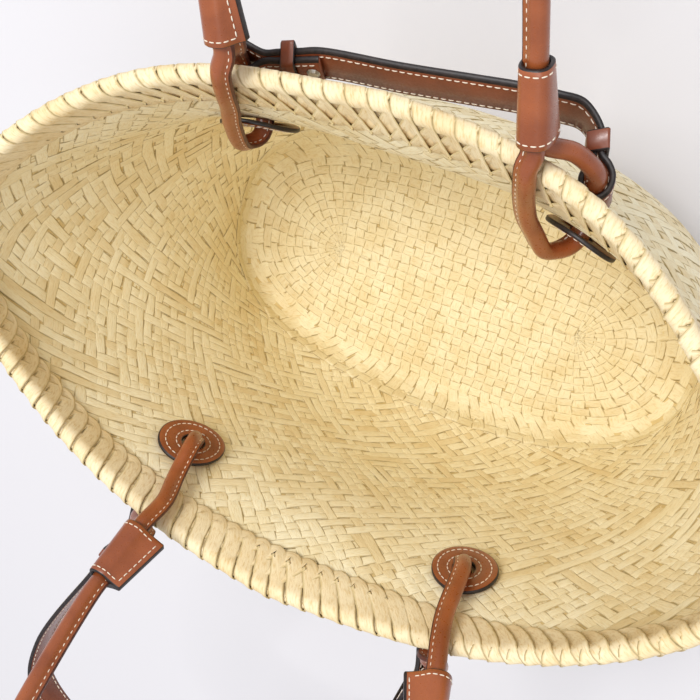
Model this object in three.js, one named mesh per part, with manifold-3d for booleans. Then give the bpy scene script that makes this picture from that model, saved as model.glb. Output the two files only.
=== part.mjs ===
// Open straw tote bag with rolled leather handles and flat leather straps.
// Millimetres, +Z up. The origin is the middle of the flat base. X runs along the mouth,
// side A is towards +Y and side B towards -Y.
import * as THREE from "three";
import { mergeVertices } from "three/addons/utils/BufferGeometryUtils.js";
import Module from "manifold-3d";

// Soft basket, as level sections from the base (at 0) to the mouth (at 1)
const bagHeight = 256;
const sections = [
  { at: 0.0, halfLength: 170, halfWidth: 80, shiftX: 0, shiftY: 0, fullness: 2.7 },
  { at: 0.35, halfLength: 180, halfWidth: 116, shiftX: 7, shiftY: 21, fullness: 2.15 },
  { at: 0.7, halfLength: 206, halfWidth: 109, shiftX: 6, shiftY: 18, fullness: 1.95 },
  { at: 1.0, halfLength: 220, halfWidth: 137, shiftX: 1, shiftY: 25, fullness: 1.51 },
];
const wallThickness = 4;
const foldRadius = 14;
// The soft mouth rises and falls, and its outline swells between the handles
const mouthRise = {
  endToEnd: 9, sideToSide: 7, ends: 11, corners: 4, thirds: 4, thirdsTurned: 2.6, fourths: 2.8,
};
const mouthSwell = { thirds: -0.018, fourths: -0.039, thirdsTurned: 0.011 };

// Plaited border sewn round the mouth
const braidWidth = 11;
const braidHeight = 15;
const braidRound = 4;
const braidOverhang = 2.5;
const braidBulge = 2;
const seamGap = 0.3;

// Leather washers round the four holes
const holeDepth = 59;
const holeRadius = 5.6;
const washerRadius = 19;
const washerHoleRadius = 6.3;
const washerThickness = 2.2;
const washerGap = 0.6;

// Rolled leather cord of the handles
const cordRadius = 3.9;
const coverThickness = 1.2;
const coreClearance = 0.5;
const strandGap = 0.8;
const cordSides = 8;

// Sleeves that gather the two strands of each leg
const sleeveLength = 31;
const sleeveWall = 1.5;
const sleeveClearance = 0.7;
const sleeveMouth = 17.4;
const sleeveNeck = 9.8;
const sleeveSpread = 1.2;
const flangeThickness = 3.2;
const sleeveTail = 8;
const sleeveSides = 16;
const tailDepth = 4;

// Flat straps, their keepers and studs
const strapWidth = 20;
const strapThickness = 2.4;
const plyGap = 0.5;
const wrapClearance = 1;
const keeperLength = 7;
const keeperWall = 1.5;
const keeperClearance = 0.4;
const studRadius = 3.2;
const studShank = 1.4;
const studHead = 1.2;
const pliesAL = [13, 20, 30, 40];
const keeperAL = 25;
const studDistanceA = 36;
const pliesAR = [8, 11.5, 15];
const keeperAR = 11.5;
// Free stretch of strap A, as shares of the way between its posts and distances out from that line
const freeA = [[0.45, 14.4], [0.657, 18.2], [0.757, 20], [0.852, 21], [0.917, 20.8]];
const pliesB = [14, 34, 46, 60];
const keeperB = 40;
const studDistanceB = 54;

// Each side's hinge line, its handle's tilt above the horizontal and the slant of its straps' ends
const sideA = { name: "a", sign: 1, hingeY: 159, hingeZ: bagHeight + 12, tilt: 28, slant: 38 };
const sideB = { name: "b", sign: -1, hingeY: -90, hingeZ: bagHeight + 7.5, tilt: 66, slant: 0 };
// Each leg's hole, the straight stretch of strand that its strap wraps (its place and its depth
// below the bag's height), its sleeve's mouth, the sideways lean of its sleeve, of the arch beyond
// it and of the slack strap, and the reach of the sleeve's sewn flange. The strand's points follow:
// its free drop from the sleeve's mouth, and its hang at the hole, as distances out from the wall,
// up and towards the sleeve
const legs = [
  {
    side: sideA, name: "a_left", holeX: -76, post: [-79, 139.5], postDepth: 35,
    baseX: -66, lean: -0.15, archLean: -0.15, flange: 3.5,
    drop: [[-1.5, -12, -6], [-3.5, -22.5, -17], [-6, -30.5, -29], [-9.5, -39.5, -41]],
    hang: [[-11.6, 13, -4], [-11.8, 6.5, -3.2], [-10.2, 2.2, -1.4]],
  },
  {
    side: sideA, name: "a_right", holeX: 87.5, post: [90, 140], postDepth: 25.5,
    baseX: 68, lean: -0.2, archLean: -0.2, flange: 0,
    drop: [[0, -10, -4], [0, -18.5, -12], [0, -27, -23], [1.5, -36, -34], [5, -44, -45]],
    hang: [[-11.6, 13, 9], [-11.8, 6.5, 5], [-10.2, 2.2, 1.8]],
  },
  {
    side: sideB, name: "b_left", holeX: -79, post: [-82, -103], postDepth: 34,
    baseX: -65, lean: -0.04, archLean: 0.15, strapLean: -0.42, flange: 9,
    hang: [[-12.5, 13, 3.5], [-10.5, 3, 0.8]],
  },
  {
    side: sideB, name: "b_right", holeX: 87.5, post: [90, -104.5], postDepth: 34,
    baseX: 100, lean: 0.3, archLean: 0.3, strapLean: -0.15, flange: -8,
    drop: [[-5.2, 6.6, -16], [-8.4, 10.4, -30]],
    hang: [[-12.5, 13, 3.5], [-10.5, 3, 0.8]],
  },
];
const archHeight = 235;
const strapBReach = 190;
const strapBStraight = 0.65;

// Colours, roughness and metalness
const straw = new THREE.MeshStandardMaterial({ color: 0xeadba6, roughness: 0.75, metalness: 0 });
const paleStraw = new THREE.MeshStandardMaterial({ color: 0xf5ecc8, roughness: 0.75, metalness: 0 });
const tan = new THREE.MeshStandardMaterial({ color: 0xa0552d, roughness: 0.42, metalness: 0 });
const fibre = new THREE.MeshStandardMaterial({ color: 0xd9d2c2, roughness: 0.9, metalness: 0 });
const steel = new THREE.MeshStandardMaterial({ color: 0xc9c7c2, roughness: 0.3, metalness: 1 });

const bag = new THREE.Group();
const up = new THREE.Vector3(0, 0, 1);

function addPiece(name, geometry, material) {
  const piece = new THREE.Mesh(geometry, material);
  piece.name = name;
  bag.add(piece);
}

// Smooth curve through the four section values
function between(key, t) {
  let value = 0;
  for (const here of sections) {
    let weight = here[key];
    for (const other of sections) {
      if (other !== here) weight *= (t - other.at) / (here.at - other.at);
    }
    value += weight;
  }
  return value;
}

function rise(theta) {
  return mouthRise.endToEnd * Math.cos(theta) + mouthRise.sideToSide * Math.sin(theta)
    + mouthRise.ends * Math.cos(2 * theta) + mouthRise.corners * Math.sin(2 * theta)
    + mouthRise.thirds * Math.cos(3 * theta) + mouthRise.thirdsTurned * Math.sin(3 * theta)
    + mouthRise.fourths * Math.cos(4 * theta);
}

const rimHeight = (theta) => bagHeight + rise(theta);

// Share of the wall's height at which it reaches height z, where the rise grows with its square
function shareOf(theta, z) {
  const extra = rise(theta);
  if (Math.abs(extra) < 0.001) return z / bagHeight;
  return (Math.sqrt(bagHeight ** 2 + 4 * extra * z) - bagHeight) / (2 * extra);
}

// Point of the basket's outer face at angle theta and height share t, moved in by inset
function wallPoint(theta, t, inset = 0) {
  const z = t * bagHeight + t * t * rise(theta);
  const round = foldRadius - inset;
  const below = Math.max(0, foldRadius - Math.max(z, inset));
  const tuck = round - Math.sqrt(Math.max(0, round * round - below * below));
  const halfLength = between("halfLength", t) - inset - tuck;
  const halfWidth = between("halfWidth", t) - inset - tuck;
  const power = between("fullness", t);
  const c = Math.cos(theta);
  const s = Math.sin(theta);
  const radius = (Math.abs(c / halfLength) ** power + Math.abs(s / halfWidth) ** power) ** (-1 / power);
  const swell = mouthSwell.thirds * Math.cos(3 * theta) + mouthSwell.fourths * Math.cos(4 * theta)
    + mouthSwell.thirdsTurned * Math.sin(3 * theta);
  const reach = radius * (1 + t * t * swell);
  return new THREE.Vector3(reach * c + between("shiftX", t), reach * s + between("shiftY", t), z);
}

// Outward direction of the wall, and its level and upward tangents
function wallFrame(theta, t) {
  const step = 0.002;
  const along = wallPoint(theta + step, t).sub(wallPoint(theta - step, t)).divideScalar(2 * step);
  const climb = wallPoint(theta, t + step).sub(wallPoint(theta, t - step)).divideScalar(2 * step);
  const outward = along.clone().cross(climb).normalize();
  return { along, climb, outward };
}

// Angle at which the wall of a side passes x, at height share t(theta)
function angleAt(sign, x, shareAt, inset = 0) {
  let low = 0.02;
  let high = Math.PI - 0.02;
  for (let turn = 0; turn < 50; turn += 1) {
    const middle = (low + high) / 2;
    if (wallPoint(sign * middle, shareAt(sign * middle), inset).x > x) low = middle;
    else high = middle;
  }
  return sign * (low + high) / 2;
}

// Place on the outer face of a side, at x and height z
function placeAt(sign, x, z) {
  const theta = angleAt(sign, x, (angle) => shareOf(angle, z));
  const t = shareOf(theta, z);
  return { theta, t, point: wallPoint(theta, t), outward: wallFrame(theta, t).outward };
}

// Turns a solid's faces over when they point inwards
function facingOut(geometry) {
  const index = geometry.index.array;
  const place = geometry.attributes.position;
  const corner = [new THREE.Vector3(), new THREE.Vector3(), new THREE.Vector3()];
  let volume = 0;
  for (let k = 0; k < index.length; k += 3) {
    corner.forEach((point, which) => point.fromBufferAttribute(place, index[k + which]));
    volume += corner[0].dot(corner[1].clone().cross(corner[2]));
  }
  if (volume < 0) {
    for (let k = 0; k < index.length; k += 3) [index[k], index[k + 1]] = [index[k + 1], index[k]];
  }
  return geometry;
}

// A closed solid from rings of points, joined ring to ring and closed at both ends
function solidFromRings(rings, closedLoop = false) {
  const count = rings[0].length;
  const positions = rings.flat().flatMap((point) => [point.x, point.y, point.z]);
  const index = [];
  const last = closedLoop ? rings.length : rings.length - 1;
  for (let ring = 0; ring < last; ring += 1) {
    const next = (ring + 1) % rings.length;
    for (let k = 0; k < count; k += 1) {
      const a = ring * count + k;
      const b = ring * count + ((k + 1) % count);
      const c = next * count + k;
      const d = next * count + ((k + 1) % count);
      index.push(a, b, d, a, d, c);
    }
  }
  if (!closedLoop) {
    const ends = [{ ring: 0, flip: true }, { ring: rings.length - 1, flip: false }];
    for (const { ring, flip } of ends) {
      const middle = new THREE.Vector3();
      rings[ring].forEach((point) => middle.add(point));
      middle.divideScalar(count);
      const centre = positions.length / 3;
      positions.push(middle.x, middle.y, middle.z);
      for (let k = 0; k < count; k += 1) {
        const a = ring * count + k;
        const b = ring * count + ((k + 1) % count);
        if (flip) index.push(centre, b, a);
        else index.push(centre, a, b);
      }
    }
  }
  const geometry = new THREE.BufferGeometry();
  geometry.setAttribute("position", new THREE.Float32BufferAttribute(positions, 3));
  geometry.setIndex(index);
  return facingOut(geometry);
}

// Joining and cutting of solids
const wasm = await Module();
wasm.setup();

function toSolid(geometry) {
  const bare = geometry.clone();
  bare.deleteAttribute("normal");
  bare.deleteAttribute("uv");
  const merged = facingOut(mergeVertices(bare, 0.0001));
  return new wasm.Manifold(new wasm.Mesh({
    numProp: 3,
    vertProperties: Float32Array.from(merged.attributes.position.array),
    triVerts: Uint32Array.from(merged.index.array),
  }));
}

function toGeometry(solid) {
  const mesh = solid.getMesh();
  const geometry = new THREE.BufferGeometry();
  geometry.setAttribute("position", new THREE.Float32BufferAttribute(mesh.vertProperties, 3));
  geometry.setIndex([...mesh.triVerts]);
  return geometry;
}

function rodAlong(centre, direction, radius, length, sides) {
  const rod = new THREE.CylinderGeometry(radius, radius, length, sides);
  const turn = new THREE.Quaternion().setFromUnitVectors(new THREE.Vector3(0, 1, 0), direction);
  rod.applyQuaternion(turn);
  rod.translate(centre.x, centre.y, centre.z);
  return rod;
}

// The holes, at the middle of the wall's thickness
for (const leg of legs) {
  const shareAt = () => 1 - holeDepth / bagHeight;
  const theta = angleAt(leg.side.sign, leg.holeX, shareAt, braidOverhang + wallThickness / 2);
  const t = shareAt(theta);
  const frame = wallFrame(theta, t);
  const middle = wallPoint(theta, t, braidOverhang).addScaledVector(frame.outward, -wallThickness / 2);
  leg.hole = { theta, t, middle, ...frame };
}

// Basket: flat oval base and curved wall in one woven skin
const roundSteps = 56;
const wallLevels = 12;
const foldLevels = 2;

function levelRing(share, inset) {
  const ring = [];
  for (let k = 0; k < roundSteps; k += 1) {
    const theta = (2 * Math.PI * k) / roundSteps;
    ring.push(wallPoint(theta, share(theta), inset));
  }
  return ring;
}

function basketGeometry() {
  const shellTop = (theta) => shareOf(theta, rimHeight(theta) - braidHeight - 3 * seamGap);
  const heights = (inset) => {
    const shares = [];
    const round = foldRadius - inset;
    for (let k = 0; k <= foldLevels; k += 1) {
      const z = inset + round * (1 - Math.cos((Math.PI / 2) * (k / foldLevels)));
      shares.push((theta) => shareOf(theta, z));
    }
    for (let k = 1; k <= wallLevels; k += 1) {
      const rest = k / wallLevels;
      shares.push((theta) => {
        const start = shareOf(theta, foldRadius);
        return start + (shellTop(theta) - start) * rest;
      });
    }
    return shares;
  };
  const outside = heights(0).map((share) => levelRing(share, braidOverhang));
  const inside = heights(wallThickness).map((share) => levelRing(share, braidOverhang + wallThickness));
  outside.slice(0, 1).flat().forEach((point) => { point.z = 0; });
  inside.slice(0, 1).flat().forEach((point) => { point.z = wallThickness; });
  let solid = toSolid(solidFromRings([...outside, ...inside.reverse()]));
  for (const leg of legs) {
    const { middle, outward } = leg.hole;
    solid = solid.subtract(toSolid(rodAlong(middle, outward, holeRadius, 4 * wallThickness, 16)));
  }
  return toGeometry(solid);
}

addPiece("basket_body", basketGeometry(), straw);

// Plaited border: a rounded band on the wall's top edge
function braidGeometry() {
  const far = braidWidth - braidRound;
  const low = braidHeight - braidRound;
  const corner = [[0, braidRound], [0, low], [braidRound, braidHeight], [far, braidHeight],
    [braidWidth, low], [braidWidth, braidRound], [far, 0], [braidRound, 0]];
  const rings = [];
  for (let k = 0; k < roundSteps; k += 1) {
    const theta = (2 * Math.PI * k) / roundSteps;
    rings.push(corner.map(([inset, drop]) => wallPoint(theta, 1, inset - braidBulge)
      .addScaledVector(up, braidBulge - drop)));
  }
  return solidFromRings(rings, true);
}

addPiece("rim_braid", braidGeometry(), paleStraw);

// Washers follow the curve of the wall, one on each face of each hole
function washerGeometry(hole, outside) {
  const sides = 20;
  const near = outside ? washerGap : -wallThickness - washerGap - washerThickness;
  const far = near + washerThickness;
  const profile = [[washerHoleRadius, near], [washerRadius, near],
    [washerRadius, far], [washerHoleRadius, far]];
  const alongUnit = hole.along.length();
  const climbUnit = hole.climb.length();
  const rings = [];
  for (let k = 0; k < sides; k += 1) {
    const turn = (2 * Math.PI * k) / sides;
    rings.push(profile.map(([radius, height]) => {
      const theta = hole.theta + (radius * Math.cos(turn)) / alongUnit;
      const t = hole.t + (radius * Math.sin(turn)) / climbUnit;
      const { outward } = wallFrame(theta, t);
      return wallPoint(theta, t, braidOverhang).addScaledVector(outward, height);
    }));
  }
  return solidFromRings(rings, true);
}

for (const leg of legs) {
  addPiece(`washer_inner_${leg.name}`, washerGeometry(leg.hole, false), tan);
  addPiece(`washer_outer_${leg.name}`, washerGeometry(leg.hole, true), tan);
}

// Directions of a side's handle: out along the leg, and from inner strand to outer strand
for (const side of [sideA, sideB]) {
  const tilt = THREE.MathUtils.degToRad(side.tilt);
  side.rise = new THREE.Vector3(0, side.sign * Math.cos(tilt), Math.sin(tilt));
  side.across = new THREE.Vector3(0, side.sign * Math.sin(tilt), -Math.cos(tilt));
}

const strandSpacing = 2 * cordRadius + 0.4;
for (const leg of legs) {
  leg.base = new THREE.Vector3(leg.baseX, leg.side.hingeY, leg.side.hingeZ);
  leg.along = leg.side.rise.clone().add(new THREE.Vector3(leg.lean, 0, 0)).normalize();
  leg.innerEntry = leg.base.clone().addScaledVector(leg.side.across, -strandSpacing / 2);
  leg.outerEntry = leg.base.clone().addScaledVector(leg.side.across, strandSpacing / 2);
}

// Point at x and height z beside the braid, on its outer side or its inner side
function besideBraid(sign, x, z, reach) {
  const theta = angleAt(sign, x, () => 1);
  const edge = wallPoint(theta, 1);
  const outward = wallFrame(theta, 1).along.cross(up).normalize();
  return edge.addScaledVector(outward, reach).setZ(z);
}

// Middle and upward direction of the strand where the strap wraps it
for (const leg of legs) {
  const slant = THREE.MathUtils.degToRad(leg.side.slant);
  leg.post = new THREE.Vector3(...leg.post, bagHeight - leg.postDepth);
  leg.strandUp = new THREE.Vector3(0, Math.sin(slant), Math.cos(slant));
}

const clearOfCord = cordRadius + strandGap;
const insideDepth = braidOverhang + wallThickness + washerGap + washerThickness + clearOfCord;
const holeStraight = wallThickness / 2 + washerGap + washerThickness + 2;
const strandClear = strapWidth / 2 + 3;

// Each leg's strand: from the sleeve over the rim, down inside, out through the hole and up again
function loopRoute(leg) {
  const { side, hole, post } = leg;
  const { middle, outward } = hole;
  const rimZ = rimHeight(angleAt(side.sign, leg.baseX, () => 1));
  const towards = Math.sign(leg.baseX - leg.holeX);
  const strandX = (z) => {
    const share = (z - middle.z) / (leg.base.z - middle.z);
    return THREE.MathUtils.lerp(leg.holeX, leg.baseX, share);
  };
  const insideWall = (z) => {
    const place = placeAt(side.sign, strandX(z), z);
    return place.point.addScaledVector(place.outward, -insideDepth);
  };
  const insideBraid = (z) => besideBraid(side.sign, strandX(z), z, -braidWidth - clearOfCord);
  const at = (out, high, shift = 0) => middle.clone().addScaledVector(outward, out)
    .add(new THREE.Vector3(towards * shift, 0, high));
  const postAt = (distance) => post.clone().addScaledVector(leg.strandUp, distance);
  const outFrom = at(holeStraight, 0);
  const postFoot = postAt(-strandClear);
  const overRim = leg.drop
    ? leg.drop.map((step) => leg.innerEntry.clone().add(new THREE.Vector3(...step)))
    : [insideBraid(rimZ - 2), insideWall(rimZ - 24)];
  const outsideBraid = (share, below) => {
    const x = THREE.MathUtils.lerp(post.x, leg.baseX, share);
    return besideBraid(side.sign, x, rimZ - below, braidBulge + clearOfCord);
  };
  const overBraid = side === sideA
    ? [outsideBraid(0.5, 6)]
    : [outsideBraid(0.5, 0.8)];
  return new THREE.CatmullRomCurve3([
    leg.innerEntry.clone().addScaledVector(leg.along, 1.2),
    leg.innerEntry.clone().addScaledVector(leg.along, -5),
    ...overRim,
    ...leg.hang.map(([out, high, shift]) => at(out, high, shift)),
    at(-holeStraight, 0),
    outFrom,
    outFrom.clone().lerp(postFoot, 0.45).add(new THREE.Vector3(0, side.sign * 1.5, -1.5)),
    postFoot,
    postAt(0),
    postAt(strandClear),
    ...overBraid,
    leg.outerEntry.clone().addScaledVector(leg.along, -5),
    leg.outerEntry.clone().addScaledVector(leg.along, tailDepth),
  ], false, "centripetal");
}

// A leather cover rolled round a fibre core, both along one route
const coreRadius = cordRadius - coverThickness - coreClearance;

function alongRoute(shape, route, steps) {
  return new THREE.ExtrudeGeometry(shape, { extrudePath: route, steps, curveSegments: cordSides / 2 });
}

function discShape(radius) {
  return new THREE.Shape().absarc(0, 0, radius, 0, 2 * Math.PI, false);
}

function coverGeometry(route, steps) {
  const shape = discShape(cordRadius);
  shape.holes.push(new THREE.Path().absarc(0, 0, cordRadius - coverThickness, 0, 2 * Math.PI, true));
  return alongRoute(shape, route, steps);
}

const loopSteps = 25;
for (const leg of legs) {
  const route = loopRoute(leg);
  addPiece(`rim_loop_${leg.name}`, coverGeometry(route, loopSteps), tan);
  addPiece(`loop_core_${leg.name}`, alongRoute(discShape(coreRadius), route, loopSteps), fibre);
}

// Arch of each handle, from one sleeve's mouth to the other's
function archRoute(side) {
  const [left, right] = legs.filter((leg) => leg.side === side);
  const middle = left.base.clone().add(right.base).multiplyScalar(0.5);
  const half = (right.baseX - left.baseX) / 2;
  const at = (across, high) => {
    const share = (across + 1) / 2;
    const inSleeve = THREE.MathUtils.lerp(left.lean, right.lean, share) * Math.min(high, sleeveLength);
    const beyond = THREE.MathUtils.lerp(left.archLean, right.archLean, share);
    const shift = inSleeve + beyond * Math.max(0, high - sleeveLength);
    return middle.clone().add(new THREE.Vector3(across * half + shift, 0, 0))
      .addScaledVector(side.rise, high);
  };
  const entry = (leg) => leg.innerEntry.clone().addScaledVector(leg.along, 1.6);
  const shoulder = 0.62 * archHeight;
  return new THREE.CatmullRomCurve3([
    entry(left),
    left.innerEntry.clone().addScaledVector(left.along, sleeveTail),
    at(-1, sleeveLength * 0.8),
    at(-1.01, sleeveLength * 1.25),
    at(-1.02, shoulder * 0.7),
    at(-0.98, shoulder),
    at(-0.8, archHeight * 0.82),
    at(-0.45, archHeight * 0.96),
    at(0, archHeight),
    at(0.45, archHeight * 0.96),
    at(0.8, archHeight * 0.82),
    at(0.98, shoulder),
    at(1.02, shoulder * 0.7),
    at(1.01, sleeveLength * 1.25),
    at(1, sleeveLength * 0.8),
    right.innerEntry.clone().addScaledVector(right.along, sleeveTail),
    entry(right),
  ], false, "centripetal");
}

const archSteps = 32;
for (const side of [sideA, sideB]) {
  const route = archRoute(side);
  addPiece(`handle_cover_${side.name}`, coverGeometry(route, archSteps), tan);
  addPiece(`handle_core_${side.name}`, alongRoute(discShape(coreRadius), route, archSteps), fibre);
}

// Sleeve: a flattened tube with a sewn flange, wide at the strands and narrow at the arch
const sleeveFullness = 2.8;

function ovalRing(half, thick, flange) {
  const ring = [];
  const soften = (value) => Math.sign(value) * Math.abs(value) ** (2 / sleeveFullness);
  for (let k = 0; k < sleeveSides; k += 1) {
    const angle = (2 * Math.PI * (k + 0.5)) / sleeveSides;
    const c = Math.cos(angle);
    const s = Math.sin(angle);
    const onFlange = c * Math.sign(flange) > 0.9;
    ring.push(onFlange ? [Math.sign(flange) * thick + flange, Math.sign(s) * (flangeThickness / 2)]
      : [thick * soften(c), half * soften(s)]);
  }
  return ring;
}

function sleeveGeometry(leg) {
  const { side } = leg;
  const sideways = new THREE.Vector3().crossVectors(side.across, leg.along).normalize();
  if (sideways.x < 0) sideways.negate();
  const over = new THREE.Vector3().crossVectors(leg.along, sideways).normalize();
  if (over.dot(side.across) < 0) over.negate();
  const beyond = 0.04;
  const ringAt = (share, grow, flange) => {
    const half = THREE.MathUtils.lerp(sleeveMouth, sleeveNeck, share) / 2 + grow;
    const thick = cordRadius + sleeveClearance + sleeveSpread * (1 - share) + grow;
    const centre = leg.base.clone().addScaledVector(leg.along, share * sleeveLength);
    return ovalRing(half, thick, flange).map(([out, across]) => centre.clone()
      .addScaledVector(sideways, out)
      .addScaledVector(over, across));
  };
  const shares = [0, 0.5, 1];
  const outer = shares.map((share) => ringAt(share, sleeveWall, leg.flange * (1 - 0.35 * share)));
  const inner = [-beyond, ...shares.slice(1, -1), 1 + beyond].map((share) => ringAt(share, 0, 0));
  return toGeometry(toSolid(solidFromRings(outer)).subtract(toSolid(solidFromRings(inner))));
}

for (const leg of legs) addPiece(`sleeve_${leg.name}`, sleeveGeometry(leg), tan);

// Flat straps: a band seen from above, whose ends wrap the outer strands and fold back
const wrapRadius = cordRadius + wrapClearance + strapThickness / 2;
const plySpacing = strapThickness + plyGap;

function smoothLine(points, count) {
  const flat = points.map(({ x, y }) => new THREE.Vector3(x, y, 0));
  return new THREE.CatmullRomCurve3(flat, false, "centripetal").getPoints(count)
    .map((point) => new THREE.Vector2(point.x, point.y));
}

// Frame of a strap: flat places (x, across) are level, and heights run along the strands' slant
function strapFrame(side, origin, levelAt) {
  const slant = THREE.MathUtils.degToRad(side.slant);
  const stretch = side.sign / Math.cos(slant);
  return {
    flat: (point) => new THREE.Vector2(point.x, (point.y - origin.y) / stretch),
    place: (x, across, height) => {
      const y = origin.y + across * stretch + Math.sin(slant) * height;
      return new THREE.Vector3(x, y, levelAt(x) + Math.cos(slant) * height);
    },
    normal: (degrees) => {
      const turn = THREE.MathUtils.degToRad(degrees);
      return new THREE.Vector3(-Math.sin(turn), side.sign * Math.cos(turn) * Math.cos(slant),
        -Math.cos(turn) * Math.sin(slant));
    },
  };
}

// Local axes of the plies that leave a strand at a heading
function plyAxes(middle, heading) {
  const turn = THREE.MathUtils.degToRad(heading);
  const out = new THREE.Vector2(Math.cos(turn), Math.sin(turn));
  const left = new THREE.Vector2(-out.y, out.x);
  return (along, across) => middle.clone().addScaledVector(out, along).addScaledVector(left, across);
}

// A strap end that wraps a strand: down one ply, round the strand and back up the other
function wrapPoints(middle, heading, plyDistances) {
  const spot = plyAxes(middle, heading);
  const round = (degrees) => {
    const angle = THREE.MathUtils.degToRad(degrees);
    return spot(wrapRadius * Math.cos(angle), -wrapRadius * Math.sin(angle));
  };
  const ply = (across) => plyDistances.map((along) => spot(along, across * (plySpacing / 2)));
  return [...ply(-1).reverse(), ...[50, 90, 135, 180, 225, 270, 310].map(round), ...ply(1)];
}

function strapGeometry(line, frame) {
  const high = strapWidth / 2;
  const rings = line.map((point, k) => {
    const before = line[Math.max(k - 1, 0)];
    const after = line[Math.min(k + 1, line.length - 1)];
    const along = after.clone().sub(before).normalize();
    const normal = new THREE.Vector2(-along.y, along.x).multiplyScalar(strapThickness / 2);
    const near = point.clone().add(normal);
    const far = point.clone().sub(normal);
    return [[near, -high], [far, -high], [far, high], [near, high]]
      .map(([flat, height]) => frame.place(flat.x, flat.y, height));
  });
  return solidFromRings(rings);
}

function mapped(geometry, rule) {
  const place = geometry.attributes.position;
  for (let k = 0; k < place.count; k += 1) {
    const point = rule(place.getX(k), place.getY(k), place.getZ(k));
    place.setXYZ(k, point.x, point.y, point.z);
  }
  return toGeometry(toSolid(geometry));
}

const keeperInner = 2 * strapThickness + plyGap + 2 * keeperClearance;

// A short square tube round both plies, threaded by them along its length
function keeperGeometry(frame, middle, heading, distance) {
  const half = keeperInner / 2;
  const tall = strapWidth / 2 + keeperClearance;
  const rectangle = (wide, high) => [[wide, high], [-wide, high], [-wide, -high], [wide, -high]]
    .map(([x, y]) => new THREE.Vector2(x, y));
  const shape = new THREE.Shape(rectangle(half + keeperWall, tall + keeperWall));
  shape.holes.push(new THREE.Path(rectangle(half, tall)));
  const tube = new THREE.ExtrudeGeometry(shape, { depth: keeperLength, steps: 1, bevelEnabled: false });
  const spot = plyAxes(middle, heading);
  return mapped(tube, (across, height, along) => {
    const flat = spot(distance + along - keeperLength / 2, across);
    return frame.place(flat.x, flat.y, height);
  });
}

// A stud through both plies, with a round head on each face
function studGeometry(centre, direction) {
  const reach = strapThickness + plyGap / 2 + seamGap;
  const profile = [[0, -reach - studHead], [studRadius * 0.7, -reach - studHead], [studRadius, -reach],
    [studShank, -reach], [studShank, reach], [studRadius, reach], [studRadius * 0.7, reach + studHead],
    [0, reach + studHead]];
  const stud = new THREE.LatheGeometry(profile.map(([x, y]) => new THREE.Vector2(x, y)), 10);
  stud.applyQuaternion(new THREE.Quaternion().setFromUnitVectors(new THREE.Vector3(0, 1, 0), direction));
  stud.translate(centre.x, centre.y, centre.z);
  return stud;
}

function strapPiece(name, band, studs) {
  let solid = toSolid(band);
  for (const { centre, direction } of studs) {
    const bore = rodAlong(centre, direction, studShank + seamGap, 6 * strapThickness, 10);
    solid = solid.subtract(toSolid(bore));
  }
  addPiece(name, toGeometry(solid), tan);
}

const [legAL, legAR, legBL, legBR] = legs;

function studPlace(frame, middle, heading, distance) {
  const flat = plyAxes(middle, heading)(distance, 0);
  return { centre: frame.place(flat.x, flat.y, 0), direction: frame.normal(heading) };
}

// Strap A runs along the flared outside of side A, close under the braid
const turnAL = 14;
const turnAR = 112;
const frameA = strapFrame(sideA, legAL.post, (x) => {
  const share = (x - legAL.post.x) / (legAR.post.x - legAL.post.x);
  return THREE.MathUtils.lerp(legAL.post.z, legAR.post.z, share);
});
const leftA = frameA.flat(legAL.post);
const rightA = frameA.flat(legAR.post);
const lineA = smoothLine([
  ...wrapPoints(leftA, turnAL, pliesAL),
  ...freeA.map(([share, out]) => leftA.clone().lerp(rightA, share).add(new THREE.Vector2(0, out))),
  ...wrapPoints(rightA, turnAR, pliesAR),
], 92);
const studA = studPlace(frameA, leftA, turnAL, studDistanceA);
strapPiece("strap_a", strapGeometry(lineA, frameA), [studA]);
addPiece("keeper_a_left", keeperGeometry(frameA, leftA, turnAL, keeperAL), tan);
addPiece("keeper_a_right", keeperGeometry(frameA, rightA, turnAR, keeperAR), tan);
addPiece("stud_a", studGeometry(studA.centre, studA.direction), steel);

// Strap B stands out from side B in a long slack bow
const turnOf = (leg) => 90 - THREE.MathUtils.radToDeg(Math.atan(leg.strapLean));
const turnBL = turnOf(legBL);
const turnBR = turnOf(legBR);
const frameB = strapFrame(sideB, legBL.post, () => legBL.post.z);
const leftB = frameB.flat(legBL.post);
const rightB = frameB.flat(legBR.post);
const bowStart = strapBStraight * strapBReach;
const bow = (degrees) => {
  const turn = THREE.MathUtils.degToRad(degrees);
  const out = bowStart + (strapBReach - bowStart) * Math.sin(turn);
  const half = (rightB.x - leftB.x + plySpacing) / 2;
  const lean = THREE.MathUtils.lerp(legBL.strapLean, legBR.strapLean, (1 + Math.cos(turn)) / 2);
  return { x: (leftB.x + rightB.x) / 2 + half * Math.cos(turn) + lean * out, y: out };
};
const lineB = smoothLine([
  ...wrapPoints(leftB, turnBL, pliesB),
  ...[180, 150, 120, 90, 60, 30, 0].map(bow),
  ...wrapPoints(rightB, turnBR, pliesB),
], 108);
const studB = studPlace(frameB, leftB, turnBL, studDistanceB);
strapPiece("strap_b", strapGeometry(lineB, frameB), [studB]);
addPiece("keeper_b_left", keeperGeometry(frameB, leftB, turnBL, keeperB), tan);
addPiece("keeper_b_right", keeperGeometry(frameB, rightB, turnBR, keeperB), tan);
addPiece("stud_b", studGeometry(studB.centre, studB.direction), steel);

export default bag;
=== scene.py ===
"""Looks of an open straw tote bag with rolled leather handles and flat leather straps.

Shapes are worked out in millimetres in the CAD frame, and turned to metres when a mesh is made.
"""

import math

import bpy
import numpy as np
from mathutils import Matrix, Vector


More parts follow.
